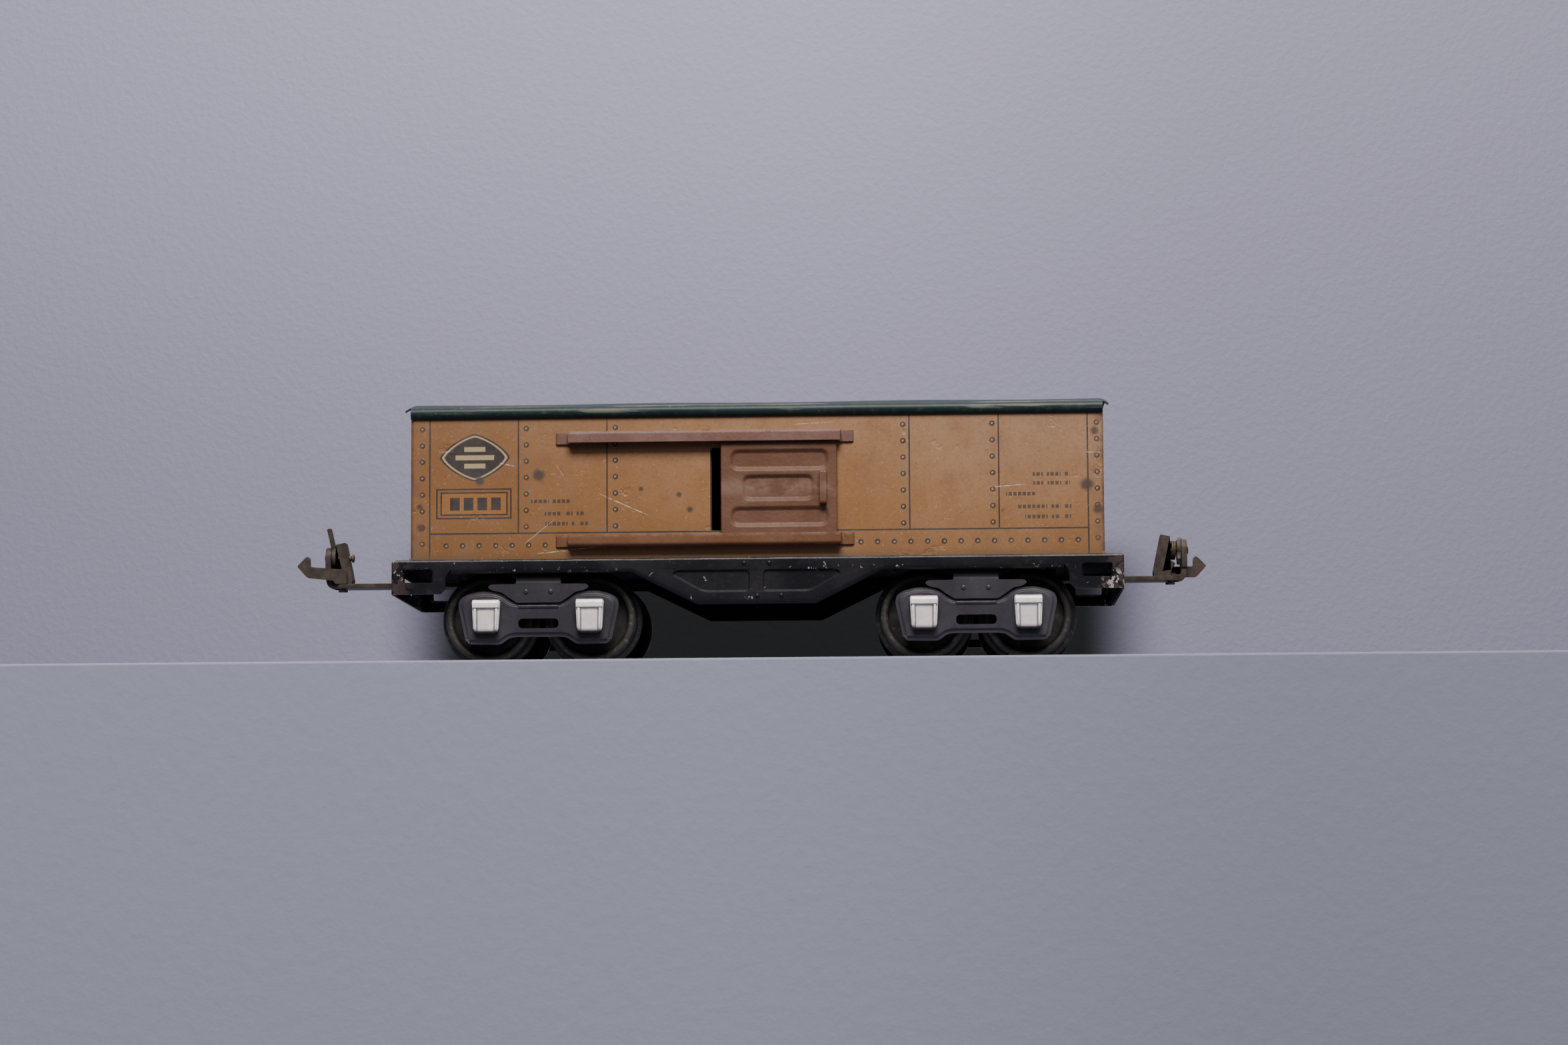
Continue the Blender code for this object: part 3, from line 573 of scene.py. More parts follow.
flat_x, flat_y = frame_high.x - FRAME_BEND, frame_high.y - FRAME_BEND
flat_top = frame_high.z - FRAME_BEND
deselect()
bpy.ops.mesh.primitive_cube_add(
    size=1,
    location=(0, 0, (POCKET_BOTTOM + frame_high.z) / 2 * MM),
    scale=(2 * frame_high.x * MM, 2 * frame_high.y * MM, (frame_high.z - POCKET_BOTTOM) * MM),
)
tray = made("underframe_pressing")
settle()
set_mode("EDIT")
bpy.ops.mesh.select_mode(type="EDGE")
select_where(tray, lambda e: max(v.co.z for v in e.verts) > (frame_high.z - 0.01) * MM)
bpy.ops.mesh.bevel(offset=FRAME_BEND * MM, segments=4, affect="EDGES")
bpy.ops.mesh.select_mode(type="FACE")
select_where(
    tray,
    lambda f: f.normal.z < -0.9 or abs(f.normal.x) > 0.999 or abs(f.normal.y) > 0.999,
    "faces",
)
bpy.ops.mesh.delete(type="FACE")
set_mode("OBJECT")

side_half = [
    (flat_x, flat_top), (flat_x, POCKET_BOTTOM), (71.3, POCKET_BOTTOM), (70.2, POCKET_BOTTOM + 1.2),
    (70.2, SILL_BOTTOM - 0.6), (69.0, SILL_BOTTOM + SILL_BEND), (28.2, SILL_BOTTOM + SILL_BEND),
    (BELLY_HALF + 0.3, frame_low.z + SILL_BEND),
]
panel = rounded(
    [(1.4, 16.4), (12.1, 16.4), (19.3, 20.4), (18.2, 21.5), (1.4, 21.5)],
    [1.2, 1.2, 0.9, 0.9, 1.2],
)
pocket = rounded(rectangle(73.0, 80.0, 18.8, 22.3), 0.8)
pressings = [(panel, 0.5, 0.45, ()), ([(-x, z) for x, z in panel], 0.5, 0.45, ())]
pressings += [(pocket, 0.9, 0.4, None), ([(-x, z) for x, z in pocket], 0.9, 0.4, None)]
side = pressed_sheet("side", both_ways(side_half), (), pressings)
under = SILL_BOTTOM + SILL_BEND + 0.1
bend_in = quarter_bend((0, -1, 0), (0, 0, -1), SILL_BEND)
turn_edge(side, lambda p: p.y < under and abs(p.x) < 69.2 and abs(p.z) < 0.01, bend_in)
put(side, TO_FRONT, shift(0, -frame_high.y, 0))
side_back = copy_of(side, "side_back", HALF_TURN)
slot_hole = rounded(rectangle(-8.2, 8.2, 18.7, 22.0), 0.9)
end = pressed_sheet("end", rectangle(-flat_y, flat_y, POCKET_BOTTOM, flat_top), (slot_hole,))
put(end, TO_RIGHT, shift(frame_high.x, 0, 0))
end_left = copy_of(end, "end_left", HALF_TURN)
joined(tray, side, side_back, end, end_left, weld=0.02)
thicken(tray, 0.6)


def dome(x, y, z, radius, height, outward):
    """A small round-topped bump or rivet head, standing out along an axis."""
    deselect()
    bpy.ops.mesh.primitive_uv_sphere_add(segments=12, ring_count=8, radius=radius * MM)
    bump = bpy.context.object
    flat = Matrix.Diagonal((1, 1, height / radius, 1))
    put(bump, flat, Vector((0, 0, 1)).rotation_difference(Vector(outward)).to_matrix().to_4x4())
    return put(bump, shift(x, y, z))


def domes(places, y, radius, height):
    """The same bumps on the front and, turned half round, on the back."""
    made_domes = []
    for x, z in places:
        made_domes.append(dome(x, -y, z, radius, height, (0, -1, 0)))
        made_domes.append(dome(-x, y, z, radius, height, (0, 1, 0)))
    return made_domes


bumps = ((-2.8, 22.9), (2.9, 22.9), (0.2, 15.5), (5.6, 15.5))
joined(tray, *domes(bumps, frame_high.y, 0.55, 0.35))
BLACK = (0.0095, 0.0088, 0.0115)
frame_enamel = make_black_enamel("frame_enamel", BLACK, 0.14, 0.68, frame_high.z - 0.3)
finish_piece(tray, "car", "black_enamel", frame_enamel, "underframe")

# ---- Body sides
# Each is one sheet of printed tinplate with a doorway whose edges are turned in, bent round
# at the corners and held down by tabs folded under the floor. The print is drawn as lines,
# rivet rings, a plain lozenge, a number plate with blank blocks, and dashes for the wording.
shell_high = size_of("body_shell")[1]
TIN = 0.5
CORNER_BEND = 0.9
DOORWAY = (-10.35, 10.35, 30.2, 49.3)
side_top = 57.8
body_y = shell_high.y
body_x = shell_high.x - 0.2
body_foot = frame_high.z + 0.03


def make_box_group():
    """1 inside a rectangle, and 0 outside it."""
    names = ("Across", "Up", "Left", "Right", "Low", "High")
    n, start, end = new_group("print_box", dict.fromkeys(names, 0.0), ("Mask",))
    across, up, left, right, low, high = start[:6]
    beside = n.least(n.minus(across, left), n.minus(right, across))
    above = n.least(n.minus(up, low), n.minus(high, up))
    n.feed(end[0], n.fade(n.least(beside, above), -0.04, 0.04))
    return n.tree


def make_ring_group():
    """Printed rivet heads at an even pitch up a column: a ring, and a crescent of shade in it."""
    names = ("Across", "Up", "Column", "First", "Pitch", "Last")
    n, start, end = new_group("print_rivets", dict.fromkeys(names, 0.0), ("Ring", "Shade", "Light"))
    across, up, column, first, pitch, last = start[:6]
    top = n.maths("ROUND", n.maths("DIVIDE", n.minus(last, first), pitch))
    nearest = n.maths("ROUND", n.maths("DIVIDE", n.minus(up, first), pitch))
    nearest = n.least(n.most(nearest, 0.0), top)
    a = n.minus(across, column)
    b = n.minus(up, n.plus(first, n.times(nearest, pitch)))
    middle = n.distance(a, b)
    inside = n.fade(middle, 0.58, 0.50)
    shade = n.fade(n.distance(n.plus(a, 0.22), n.plus(b, -0.22)), 0.40, 0.58)
    light = n.fade(n.distance(n.plus(a, 0.10), n.plus(b, -0.10)), 0.30, 0.15)
    n.feed(end[0], n.fade(n.size(n.minus(middle, 0.47)), 0.21, 0.10))
    n.feed(end[1], n.times(inside, shade))
    n.feed(end[2], n.times(inside, light))
    return n.tree


def make_scratch_group():
    """A thin straight scratch of a given middle, lean and length, fading at its ends."""
    names = ("Across", "Up", "Middle", "Height", "Lean", "Half", "Width")
    n, start, end = new_group("scratch", dict.fromkeys(names, 0.0), ("Mask",))
    across, up, middle, height, lean, half, width = start[:7]
    a = n.minus(across, middle)
    off = n.size(n.minus(n.minus(up, height), n.times(a, lean)))
    line = n.add("MapRange", off, width, 0.0).outputs[0]
    span = n.add("MapRange", n.size(a), half, n.times(half, 0.6)).outputs[0]
    n.feed(end[0], n.times(line, span))
    return n.tree


print_box = make_box_group()
print_rivets = make_ring_group()
scratch = make_scratch_group()
LINE = 0.17
PANEL_LINE = 30.2
PANEL_TOP = 58.0
UPRIGHTS = (-53.8, -33.7, 34.6, 54.7)
FULL_LINES = (-73.9, 74.7)
RIVET_PITCH = 3.73
RIVET_COLUMNS = [(-75.6, 27.9), *((x, 31.65) for x in (-52.0, -31.8, 33.2, 53.3)), (76.8, 27.9)]
LOZENGE = (-63.7, 47.5, 7.9, 5.35)
PLATE_FRAMES = ((-72.3, -55.5, 33.7, 40.3), (-71.3, -56.4, 34.5, 39.5))
BLANK_BLOCKS = ((-69.3, -67.1), (-66.2, -64.0), (-63.1, -60.9), (-60.0, -57.8))
DASH_PITCH = 1.05
WORDING = (
    (-50.9, 37.4, (4.9, 4.9)), (-47.8, 34.6, (4.6, 2.6, 2.8)), (-47.7, 32.3, (6.0, 1.6, 3.0)),
    (62.3, 42.4, (3.2, 4.0, 2.0)), (62.4, 40.4, (3.2, 4.0, 2.0)), (56.3, 38.0, (7.4,)),
    (58.8, 35.1, (7.6, 3.0, 2.4)), (60.5, 32.8, (6.0, 2.8, 2.4)),
)
SCRATCHES = (
    (56.5, 39.9, 0.07, 4.6, 0.15), (77.0, 47.3, -0.03, 3.0, 0.22), (-30.0, 36.6, -0.45, 6.0, 0.20),
    (-49.0, 30.6, 0.80, 3.6, 0.16), (-56.3, 45.9, -0.22, 1.9, 0.20), (-42.0, 26.3, 0.09, 9.0, 0.18),
    (-44.4, 44.4, -1.60, 0.9, 0.16), (13.0, 54.6, 0.05, 5.0, 0.10),
)
SPOTS = (
    (-49.2, 43.4, 1.6), (-62.6, 42.2, 1.25), (-75.9, 31.6, 1.1), (-76.2, 36.4, 0.8),
    (-26.0, 40.0, 0.6), (-17.4, 38.6, 0.75), (-15.0, 35.2, 0.8),
    (74.4, 40.0, 1.7), (76.3, 52.2, 1.1), (76.9, 34.4, 1.3),
)


def draw_print(n, across, up):
    """The masks of the printing: dark ink, faint ink, cream, plate orange and rivet lights."""

    def block(left, right, low, high):
        return n.group(print_box, across, up, left, right, low, high)[0]

    def outline_box(left, right, low, high):
        outer = block(left - LINE, right + LINE, low - LINE, high + LINE)
        return n.minus(outer, block(left + LINE, right - LINE, low + LINE, high - LINE))

    ink = [block(x - LINE, x + LINE, 20.0, PANEL_TOP) for x in FULL_LINES]
    ink += [block(x - LINE, x + LINE, PANEL_LINE, PANEL_TOP) for x in UPRIGHTS]
    ink.append(block(*FULL_LINES, PANEL_LINE - LINE, PANEL_LINE + LINE))
    ink += [outline_box(*box) for box in PLATE_FRAMES]
    ink += [block(left, right, 35.5, 38.4) for left, right in BLANK_BLOCKS]
    rows = [(column, first, RIVET_PITCH, 54.6) for column, first in RIVET_COLUMNS]
    rivets = [n.group(print_rivets, across, up, *row) for row in rows]
    rivets.append(n.group(print_rivets, up, across, 27.5, -70.2, 3.75, 71.2))
    for ring, shade, _ in rivets:
        ink += [ring, shade]
    lights = n.most(*(outputs[2] for outputs in rivets))

    words = []
    for left, middle, lengths in WORDING:
        for length in lengths:
            words.append(block(left, left + length - 0.9, middle - 0.42, middle + 0.42))
            left += length
    dashes = n.maths("FRACT", n.maths("DIVIDE", across, DASH_PITCH))
    gaps = n.fade(n.size(n.minus(dashes, 0.5)), 0.40, 0.30)

    middle_x, middle_z, half_x, half_z = LOZENGE
    reach_x = n.size(n.maths("DIVIDE", n.minus(across, middle_x), half_x))
    reach_z = n.size(n.maths("DIVIDE", n.minus(up, middle_z), half_z))
    lozenge = n.plus(n.maths("POWER", reach_x, 1.35), n.maths("POWER", reach_z, 1.35))
    rim = n.fade(lozenge, 1.03, 0.99)
    border = n.fade(lozenge, 0.945, 0.905)
    field = n.fade(lozenge, 0.845, 0.805)
    bars = []
    for rise, half in ((1.9, 2.4), (0, 4.4), (-1.9, 2.4)):
        z = middle_z + rise
        bars.append(block(middle_x - half, middle_x + half, z - 0.55, z + 0.55))
    dark = n.times(field, n.minus(1.0, n.most(*bars)))
    ink.append(n.most(dark, n.minus(rim, border)))
    cream = n.minus(border, dark)
    return n.most(*ink), n.times(n.most(*words), gaps), cream, block(*PLATE_FRAMES[1]), lights


def make_litho(name, hand, whole_side=True):
    """Printed and varnished tinplate. hand is -1 where left and right change over."""
    n = Finish(name)
    across = n.times(n.x if whole_side else n.y, hand)
    tone = n.patches(26.0, 0.30, 0.5, 2.0)
    n.base = n.blend_colour(tone, (0.248, 0.113, 0.039), (0.298, 0.150, 0.065))
    n.wash(n.fade(n.z, 40.0, 57.0), (0.30, 0.175, 0.095), 0.45)
    if whole_side:
        # Painted shade: the side darkens towards its left end.
        n.wash(n.fade(across, 10.0, -80.0), (0.155, 0.062, 0.013), 0.58)
        # Painted sheen: a paler wash over the upper right part of the side.
        painted_sheen = n.times(n.fade(across, 20.0, 60.0), n.fade(n.z, 30.0, 48.0))
        n.wash(painted_sheen, (0.30, 0.178, 0.108), 0.42)
    n.wash(n.fade(n.z, 38.0, 25.0), (0.120, 0.052, 0.013), 0.32)
    n.stain(0.8, 0.45, 0.25, 14.0, (0.165, 0.070, 0.025), 0.32)
    n.stain(8.0, 0.48, 0.2, 16.0, (0.185, 0.082, 0.035), 0.38)
    n.stain(0.6, 0.62, 0.06, 18.0, (0.46, 0.32, 0.20), 0.30)
    if whole_side:
        ink, words, cream, plate, lights = draw_print(n, across, n.z)
        n.wash(plate, (0.30, 0.125, 0.028), 0.55)
        n.wash(lights, (0.42, 0.28, 0.15), 0.5)
        n.wash(cream, (0.37, 0.28, 0.15))
        fading = n.blend(n.patches(3.0, 0.30, 0.35, 9.0), 0.86, 1.0)
        n.wash(ink, (0.026, 0.024, 0.026), fading)
        n.wash(words, (0.030, 0.025, 0.024), 0.80)
        marks = [n.group(scratch, across, n.z, *values)[0] for values in SCRATCHES]
        worn = n.times(n.most(*marks), n.patches(0.7, 0.35, 0.2, 61.0))
        n.wash(worn, (0.50, 0.42, 0.32), 0.75)
        for x, z, radius in SPOTS:
            ragged = n.times(n.group(patches, n.place, 1.2, 0.2, 0.6, x)[1], 0.6 * radius)
            apart = n.plus(n.distance(n.minus(across, x), n.minus(n.z, z)), ragged)
            n.wash(n.fade(apart, radius * 1.5, radius * 0.7), (0.050, 0.034, 0.028), 0.92)
    n.stain(1.5, 0.66, 0.02, 40.0, (0.12, 0.055, 0.03), 0.7)
    under_roof = n.times(n.fade(n.z, 53.0, 57.0), n.patches(5.0, 0.36, 0.25, 42.0))
    n.wash(under_roof, (0.20, 0.105, 0.060), 0.45)
    grime = n.patches(7.0, 0.35, 0.4, 44.0)
    # Darker in ragged patches towards the foot of the side, just above the frame.
    darker_foot = n.times(n.fade(n.z, 26.6, 24.3), n.blend(grime, 0.45, 1.0))
    n.wash(darker_foot, (0.11, 0.062, 0.028), 0.8)
    far_x, far_y = n.size(n.x), n.size(n.y)
    corner = n.times(n.fade(far_x, 74.8, 78.0), n.patches(3.0, 0.43, 0.15, 47.0))
    n.wash(corner, (0.12, 0.065, 0.045), 0.7)
    inner_y = n.fade(far_y, body_y - 0.30, body_y - 0.42)
    inner = n.times(inner_y, n.fade(far_x, body_x - 0.30, body_x - 0.42))
    n.wash(inner, (0.22, 0.19, 0.14))
    dents = n.times(n.patches(9.0, 0.62, 0.12, 71.0), -1.2)
    small = n.times(n.patches(1.1, 0.66, 0.08, 73.0), -0.35)
    height = n.plus(dents, small, n.times(n.patches(0.5, 0.2, 0.6, 5.0), 0.10))
    if whole_side:
        height = n.minus(height, n.times(worn, 0.4))
    coat = {"Coat_Weight": 0.12, "Coat_Roughness": 0.28}
    rough = n.blend(grime, 0.38, 0.52)
    return n.finish(rough, height, 0.5, 0.00025, Metallic=n.times(inner, 0.6), **coat)


def turn_sides(sheet, left, right, radius, steps):
    """Bends back the left and right edges of a sheet that faces +Z."""
    for hand, edge in ((-1, left), (1, right)):
        bend = quarter_bend((hand, 0, 0), (0, 0, -1), radius, steps)
        turn_edge(sheet, lambda p, edge=edge: abs(p.x - edge) < 0.01, bend)


doorway = rectangle(*DOORWAY)
wall = pressed_sheet(
    "body_side_front",
    rectangle(-(body_x - CORNER_BEND), body_x - CORNER_BEND, body_foot, side_top),
    (),
    [(rounded(doorway, 0.6), 1.3, 0.3, None)],
)
turn_sides(wall, -(body_x - CORNER_BEND), body_x - CORNER_BEND, CORNER_BEND, 5)
thicken(wall, TIN)
put(wall, TO_FRONT, shift(0, -body_y, 0))


def extruded(name, outline, width):
    """A solid of one cross-section, its middle at zero height."""
    solid = outline_object(name, outline)
    set_mode("EDIT")
    select_mesh()
    bpy.ops.mesh.edge_face_add()
    extrude((0, 0, width))
    face_outwards()
    set_mode("OBJECT")
    return put(solid, shift(0, 0, -width / 2))


def bent_strip(name, path, width, thickness, bend, steps=4, edge=0.07):
    """A strip of sheet bent along a path in the XY plane, its width along Z."""
    if len(path) > 2 and bend > 0:
        middle = rounded(path, [0] + [bend] * (len(path) - 2) + [0], steps)
    else:
        middle = path
    sides = ([], [])
    for i, here in enumerate(middle):
        runs = []
        if i > 0:
            runs.append((Vector(here) - Vector(middle[i - 1])).normalized())
        if i < len(middle) - 1:
            runs.append((Vector(middle[i + 1]) - Vector(here)).normalized())
        normals = [Vector((-run.y, run.x)) for run in runs]
        total = sum(normals, Vector((0, 0)))
        scale = 1 / max(1 + normals[0].dot(normals[-1]), 0.35) if len(normals) == 2 else 1
        across = total * scale * thickness / 2
        sides[0].append((here[0] + across.x, here[1] + across.y))
        sides[1].append((here[0] - across.x, here[1] - across.y))
    strip = extruded(name, sides[0] + sides[1][::-1], width)
    soften(strip, edge, 2, 45)
    return strip


floor_under = frame_high.z - 0.6
folds = []
for x in (-76.0, -20.0, 20.0, 76.0):
    outer = -(body_y - 0.28)
    path = [(outer, body_foot + 0.4), (outer, floor_under - 0.3), (outer + 2.2, floor_under - 0.28)]
    fold = bent_strip("fold", path, 5.0, 0.45, 0.4)
    folds.append(put(fold, TO_RIGHT, shift(x, 0, 0)))
joined(wall, *folds)
wall_back = copy_of(wall, "body_side_back", HALF_TURN)
litho_front = make_litho("litho_front", 1)
litho_back = make_litho("litho_back", -1)
finish_piece(wall, "car", "cream_litho", litho_front, "body_shell")
finish_piece(wall_back, "car", "cream_litho", litho_back, "body_shell")

# ---- Body ends
# Plain printed ends, cut to the curve of the roof and set between the bent corners.


def arch_points(half_width, base, rise, steps=24):
    """Points of a shallow arc, from the front edge to the back edge."""
    radius = (half_width**2 + rise**2) / (2 * rise)
    spread = math.asin(half_width / radius)
    angles = [spread * (2 * i / steps - 1) for i in range(steps + 1)]
    return [(radius * math.sin(a), base + rise - radius + radius * math.cos(a)) for a in angles]


end_half = body_y - CORNER_BEND
CROWN_DROP = 0.9
crown = arch_points(end_half, side_top, shell_high.z - CROWN_DROP - side_top - 0.1)
end_sheet = pressed_sheet(
    "body_end_right",
    [(-end_half, body_foot), (end_half, body_foot), *reversed(crown)],
    (),
    [(rounded(rectangle(-20.5, 20.5, 28.5, 54.5), 1.5), 0.3, 0.9, ())],
)
thicken(end_sheet, TIN)
put(end_sheet, TO_RIGHT, shift(body_x, 0, 0))
end_sheet_left = copy_of(end_sheet, "body_end_left", HALF_TURN)
litho_end = make_litho("litho_end", 1, whole_side=False)
finish_piece(end_sheet, "car", "cream_litho", litho_end, "body_shell")
finish_piece(end_sheet_left, "car", "cream_litho", litho_end, "body_shell")

# ---- Roof
# A curved sheet in dark green enamel. Both long edges are rolled into a half-round that
# grips the top of the sides, and a thin lip is turned over each end.
roof_low, roof_high = size_of("roof")
ROLL_RADIUS = 1.38
roll_middle = roof_low.z + ROLL_RADIUS
profile = []
for step in range(11):
    angle = math.radians(-78 + 156 * step / 10)
    y = roof_high.y - 1.15 + 1.15 * math.cos(angle)
    profile.append((-y, roll_middle + ROLL_RADIUS * math.sin(angle)))
rise = roof_high.z - CROWN_DROP - profile[-1][1]
profile += arch_points(-profile[-1][0], profile[-1][1], rise, 28)[1:-1]
profile += [(-y, z) for y, z in reversed(profile[:11])]
end_x = body_x - 0.1
columns = [-roof_high.x, -roof_high.x + 0.5, -roof_high.x + 1.0, -end_x]
columns += [-end_x + 2 * end_x * i / 52 for i in range(1, 52)]
columns += [end_x, roof_high.x - 1.0, roof_high.x - 0.5, roof_high.x]
deselect()
bpy.ops.mesh.primitive_grid_add(
    x_subdivisions=len(columns) - 1, y_subdivisions=len(profile) - 1, size=1
)
roof = made("roof_sheet")
LIP_DROP = {0: 0.75, 1: 0.4, 2: 0.15}
for vertex in roof.data.vertices:
    i = round((vertex.co.x + 0.5) * (len(columns) - 1))
    j = round((vertex.co.y + 0.5) * (len(profile) - 1))
    y, z = profile[j]
    drop = LIP_DROP.get(min(i, len(columns) - 1 - i), 0.0)
    wave = 0.10 * math.sin(columns[i] * 0.11 + 1.0) * math.cos(y * 0.2)
    vertex.co = (columns[i] * MM, y * MM, (z - drop + (wave if z > 59.2 else 0)) * MM)
set_mode("EDIT")
bpy.ops.mesh.select_mode(type="FACE")
select_where(
    roof,
    lambda f: abs(f.calc_center_median().x) > end_x * MM
    and abs(f.calc_center_median().y) > -profile[10][0] * MM,
    "faces",
)
bpy.ops.mesh.delete(type="FACE")
face_outwards()
set_mode("OBJECT")
if sum(face.normal.z for face in roof.data.polygons) < 0:
    roof.data.flip_normals()
thicken(roof, 0.42)


def make_green_roof():
    """Dark green enamel, crazed and rubbed through to cream undercoat along the rolled edge, where a
    painted highlight also runs along the crest of the roll.
    """
    n = Finish("green_enamel")
    cloud = n.patches(18.0, 0.3, 0.45, 4.0)
    n.base = n.blend_colour(cloud, (0.007, 0.017, 0.016), (0.013, 0.027, 0.027))
    n.stain(1.4, 0.50, 0.2, 6.0, (0.14, 0.15, 0.15), 0.12)
    long = n.scaled(n.place, 0.10, 1.0, 1.0)
    # Along the crest of the rolled edge: rubbed-through cream undercoat, and a painted highlight.
    crest_wear_and_highlight = n.times(n.band(n.z, roll_middle + 0.15, 0.75), n.patches(2.2, 0.53, 0.10, 12.0, long))
    n.wash(crest_wear_and_highlight, (0.20, 0.185, 0.14), 0.55)
    top = n.times(n.band(n.z, roof_low.z + 2.75, 0.35), n.patches(1.8, 0.50, 0.06, 19.0, long))
    n.wash(top, (0.26, 0.22, 0.17), 0.5)
    chips = n.stain(2.4, 0.69, 0.015, 27.0, (0.17, 0.10, 0.07))
    n.wash(n.band(n.z, roof_low.z, 0.5), (0.012, 0.022, 0.022), 0.7)
    rough = n.blend(n.fade(n.z, roof_low.z + 2.0, roof_low.z + 2.8), 0.42, 0.70)
    height = n.minus(cloud, n.times(chips, 0.6))
    return n.finish(rough, height, 0.3, 0.0002, Specular_IOR_Level=0.22)


finish_piece(roof, "car", "green_roof", make_green_roof(), "roof", angle=50)

# ---- Door guides
# Folded strips of brown enamelled tin, open towards the door. Each end is a narrower strip
# that steps back to the side and ends in a prong pushed through a slot and bent over.
GUIDE_LIFT = 0.03


def make_brown_enamel(name, colour, light, wear_line, wear_width):
    """Red-brown enamel, polished by handling on its proud edges, with dirt in its corners."""
    n = Finish(name)
    n.base = n.blend_colour(n.patches(9.0, 0.30, 0.45, 1.0), colour, light)
    dirt = n.stain(1.5, 0.56, 0.12, 15.0, (0.09, 0.045, 0.03), 0.35)
    rub = n.times(n.band(n.z, wear_line, wear_width), n.patches(4.0, 0.38, 0.2, 25.0))
    n.wash(rub, (0.30, 0.20, 0.15), 0.35)
    rust = n.stain(1.8, 0.68, 0.03, 35.0, (0.07, 0.035, 0.025), 0.8)
    height = n.minus(n.times(n.patches(0.8, 0.2, 0.6, 5.0), 0.7), rust)
    return n.finish(n.blend(dirt, 0.46, 0.60), height, 0.35, 0.00016, Specular_IOR_Level=0.20)


guides = {}
for level in ("upper", "lower"):
    low, high = size_of(f"door_guide_{level}_front")
    body_left, body_right = -42.3, 19.1
    face_y = low.y + TIN / 2
    wall_y = -body_y - GUIDE_LIFT
    bottom = high.z - 2.65
    if level == "upper":
        path = [(face_y, bottom), (face_y, high.z - TIN / 2), (wall_y, high.z - TIN / 2)]
    else:
        bottom = low.z + 0.05
        path = [(wall_y, bottom + TIN / 2), (face_y, bottom + TIN / 2), (face_y, high.z)]
    strip = bent_strip(f"door_guide_{level}_front_strip", path, body_right - body_left, TIN, 0.6)
    put(strip, TO_RIGHT, shift((body_left + body_right) / 2, 0, 0))
    steps = []
    for hand, end in ((-1, body_left), (1, body_right)):
        inner = end - hand * 0.7
        step_path = [
            (inner - hand * 2.0, face_y + 0.48), (inner, face_y + 0.48),
            (end + hand * 0.1, wall_y - TIN / 2), (end + hand * 2.75, wall_y - TIN / 2),
            (end + hand * 2.75, wall_y + 0.35),
        ]
        step = bent_strip("step", step_path, 2.65 if level == "lower" else 2.55, TIN, 0.55, 5)
        height = bottom + 1.15 if level == "upper" else bottom + 1.4
        steps.append(put(step, shift(0, 0, height)))
    guides[level] = joined(strip, *steps)
# Both guides are the same brown enamel. The lighter, greyer brown of the upper guide is painted
# light, and the lower guide has the plain tone.
GUIDE_BROWNS_WITH_PAINTED_LIGHT = {
    "upper": ((0.138, 0.069, 0.051), (0.180, 0.104, 0.090), 53.0),
    "lower": ((0.122, 0.052, 0.024), (0.160, 0.077, 0.042), 29.4),
}
for level, strip in guides.items():
    brown = make_brown_enamel(f"guide_brown_{level}", *GUIDE_BROWNS_WITH_PAINTED_LIGHT[level], 0.7)
    finish_both(strip, "car", "brown_enamel", brown, f"door_guide_{level}_front")

# ---- Doors
# Each door is one brown pressing with three sunk panels, the middle one shorter, and a strap
# handle riveted beside it. It slides behind the two guides.
door_low, door_high = size_of("door_front")
DOOR_ROLL = 0.35
door_left, door_right = door_low.x + DOOR_ROLL, door_high.x - DOOR_ROLL
panels = (
    (rounded(rectangle(-6.0, 16.7, 43.5, 48.8), 2.4, 7), 0.6, 1.25, ()),
    (rounded(rectangle(-3.3, 13.4, 36.7, 43.0), 2.2, 7), 0.6, 1.15, ()),
    (rounded(rectangle(-6.0, 16.7, 30.8, 35.8), 2.4, 7), 0.6, 1.25, ()),
)
door = pressed_sheet(
    "door_front_pressing", rectangle(door_left, door_right, door_low.z, door_high.z), (), panels, 7
)
turn_sides(door, door_left, door_right, DOOR_ROLL, 3)
thicken(door, 0.4)
door_face = door_low.y
put(door, TO_FRONT, shift(0, door_face, 0))
door_brown = make_brown_enamel("door_brown", (0.112, 0.050, 0.028), (0.140, 0.070, 0.045), 40.0, 3.0)
finish_both(door, "door_front", "brown_enamel", door_brown, "door_front")

handle_low, handle_high = size_of("door_handle_front")
strap_y = handle_low.y + 0.25
strap_path = [
    (door_face + 0.05, handle_high.z - 0.3), (strap_y, handle_high.z - 0.3),
    (strap_y, handle_low.z + 0.3), (door_face + 0.05, handle_low.z + 0.3),
]
strap = bent_strip("door_handle_front_strap", strap_path, 1.5, 0.4, 0.55, 5)
put(strap, TO_RIGHT, shift((handle_low.x + handle_high.x) / 2, 0, 0))
finish_both(strap, "door_front", "brown_enamel", door_brown, "door_handle_front")

# ---- Truck frames
# Each truck is two pressed side frames shaped like a bone, hung from a bolster that is bent
# down over them in a winged plate and dimpled to hold. All are enamelled black.
truck_low, truck_high = size_of("truck_frame_right")
truck_x = (truck_low.x + truck_high.x) / 2
AXLE_OFFSET = 11.7
axle_low, axle_high = size_of("axle_right_outer")
axle_z = (axle_low.z + axle_high.z) / 2
AXLES_X = [sign * truck_x + x for sign in (-1, 1) for x in (-AXLE_OFFSET, AXLE_OFFSET)]
AXLE_PLACES = (("outer", AXLE_OFFSET), ("inner", -AXLE_OFFSET))
ENDS = (("left", -1), ("right", 1))
SIDE_FACE = 24.2
BONE_RISE = 0.45
WING_FACE = 24.72

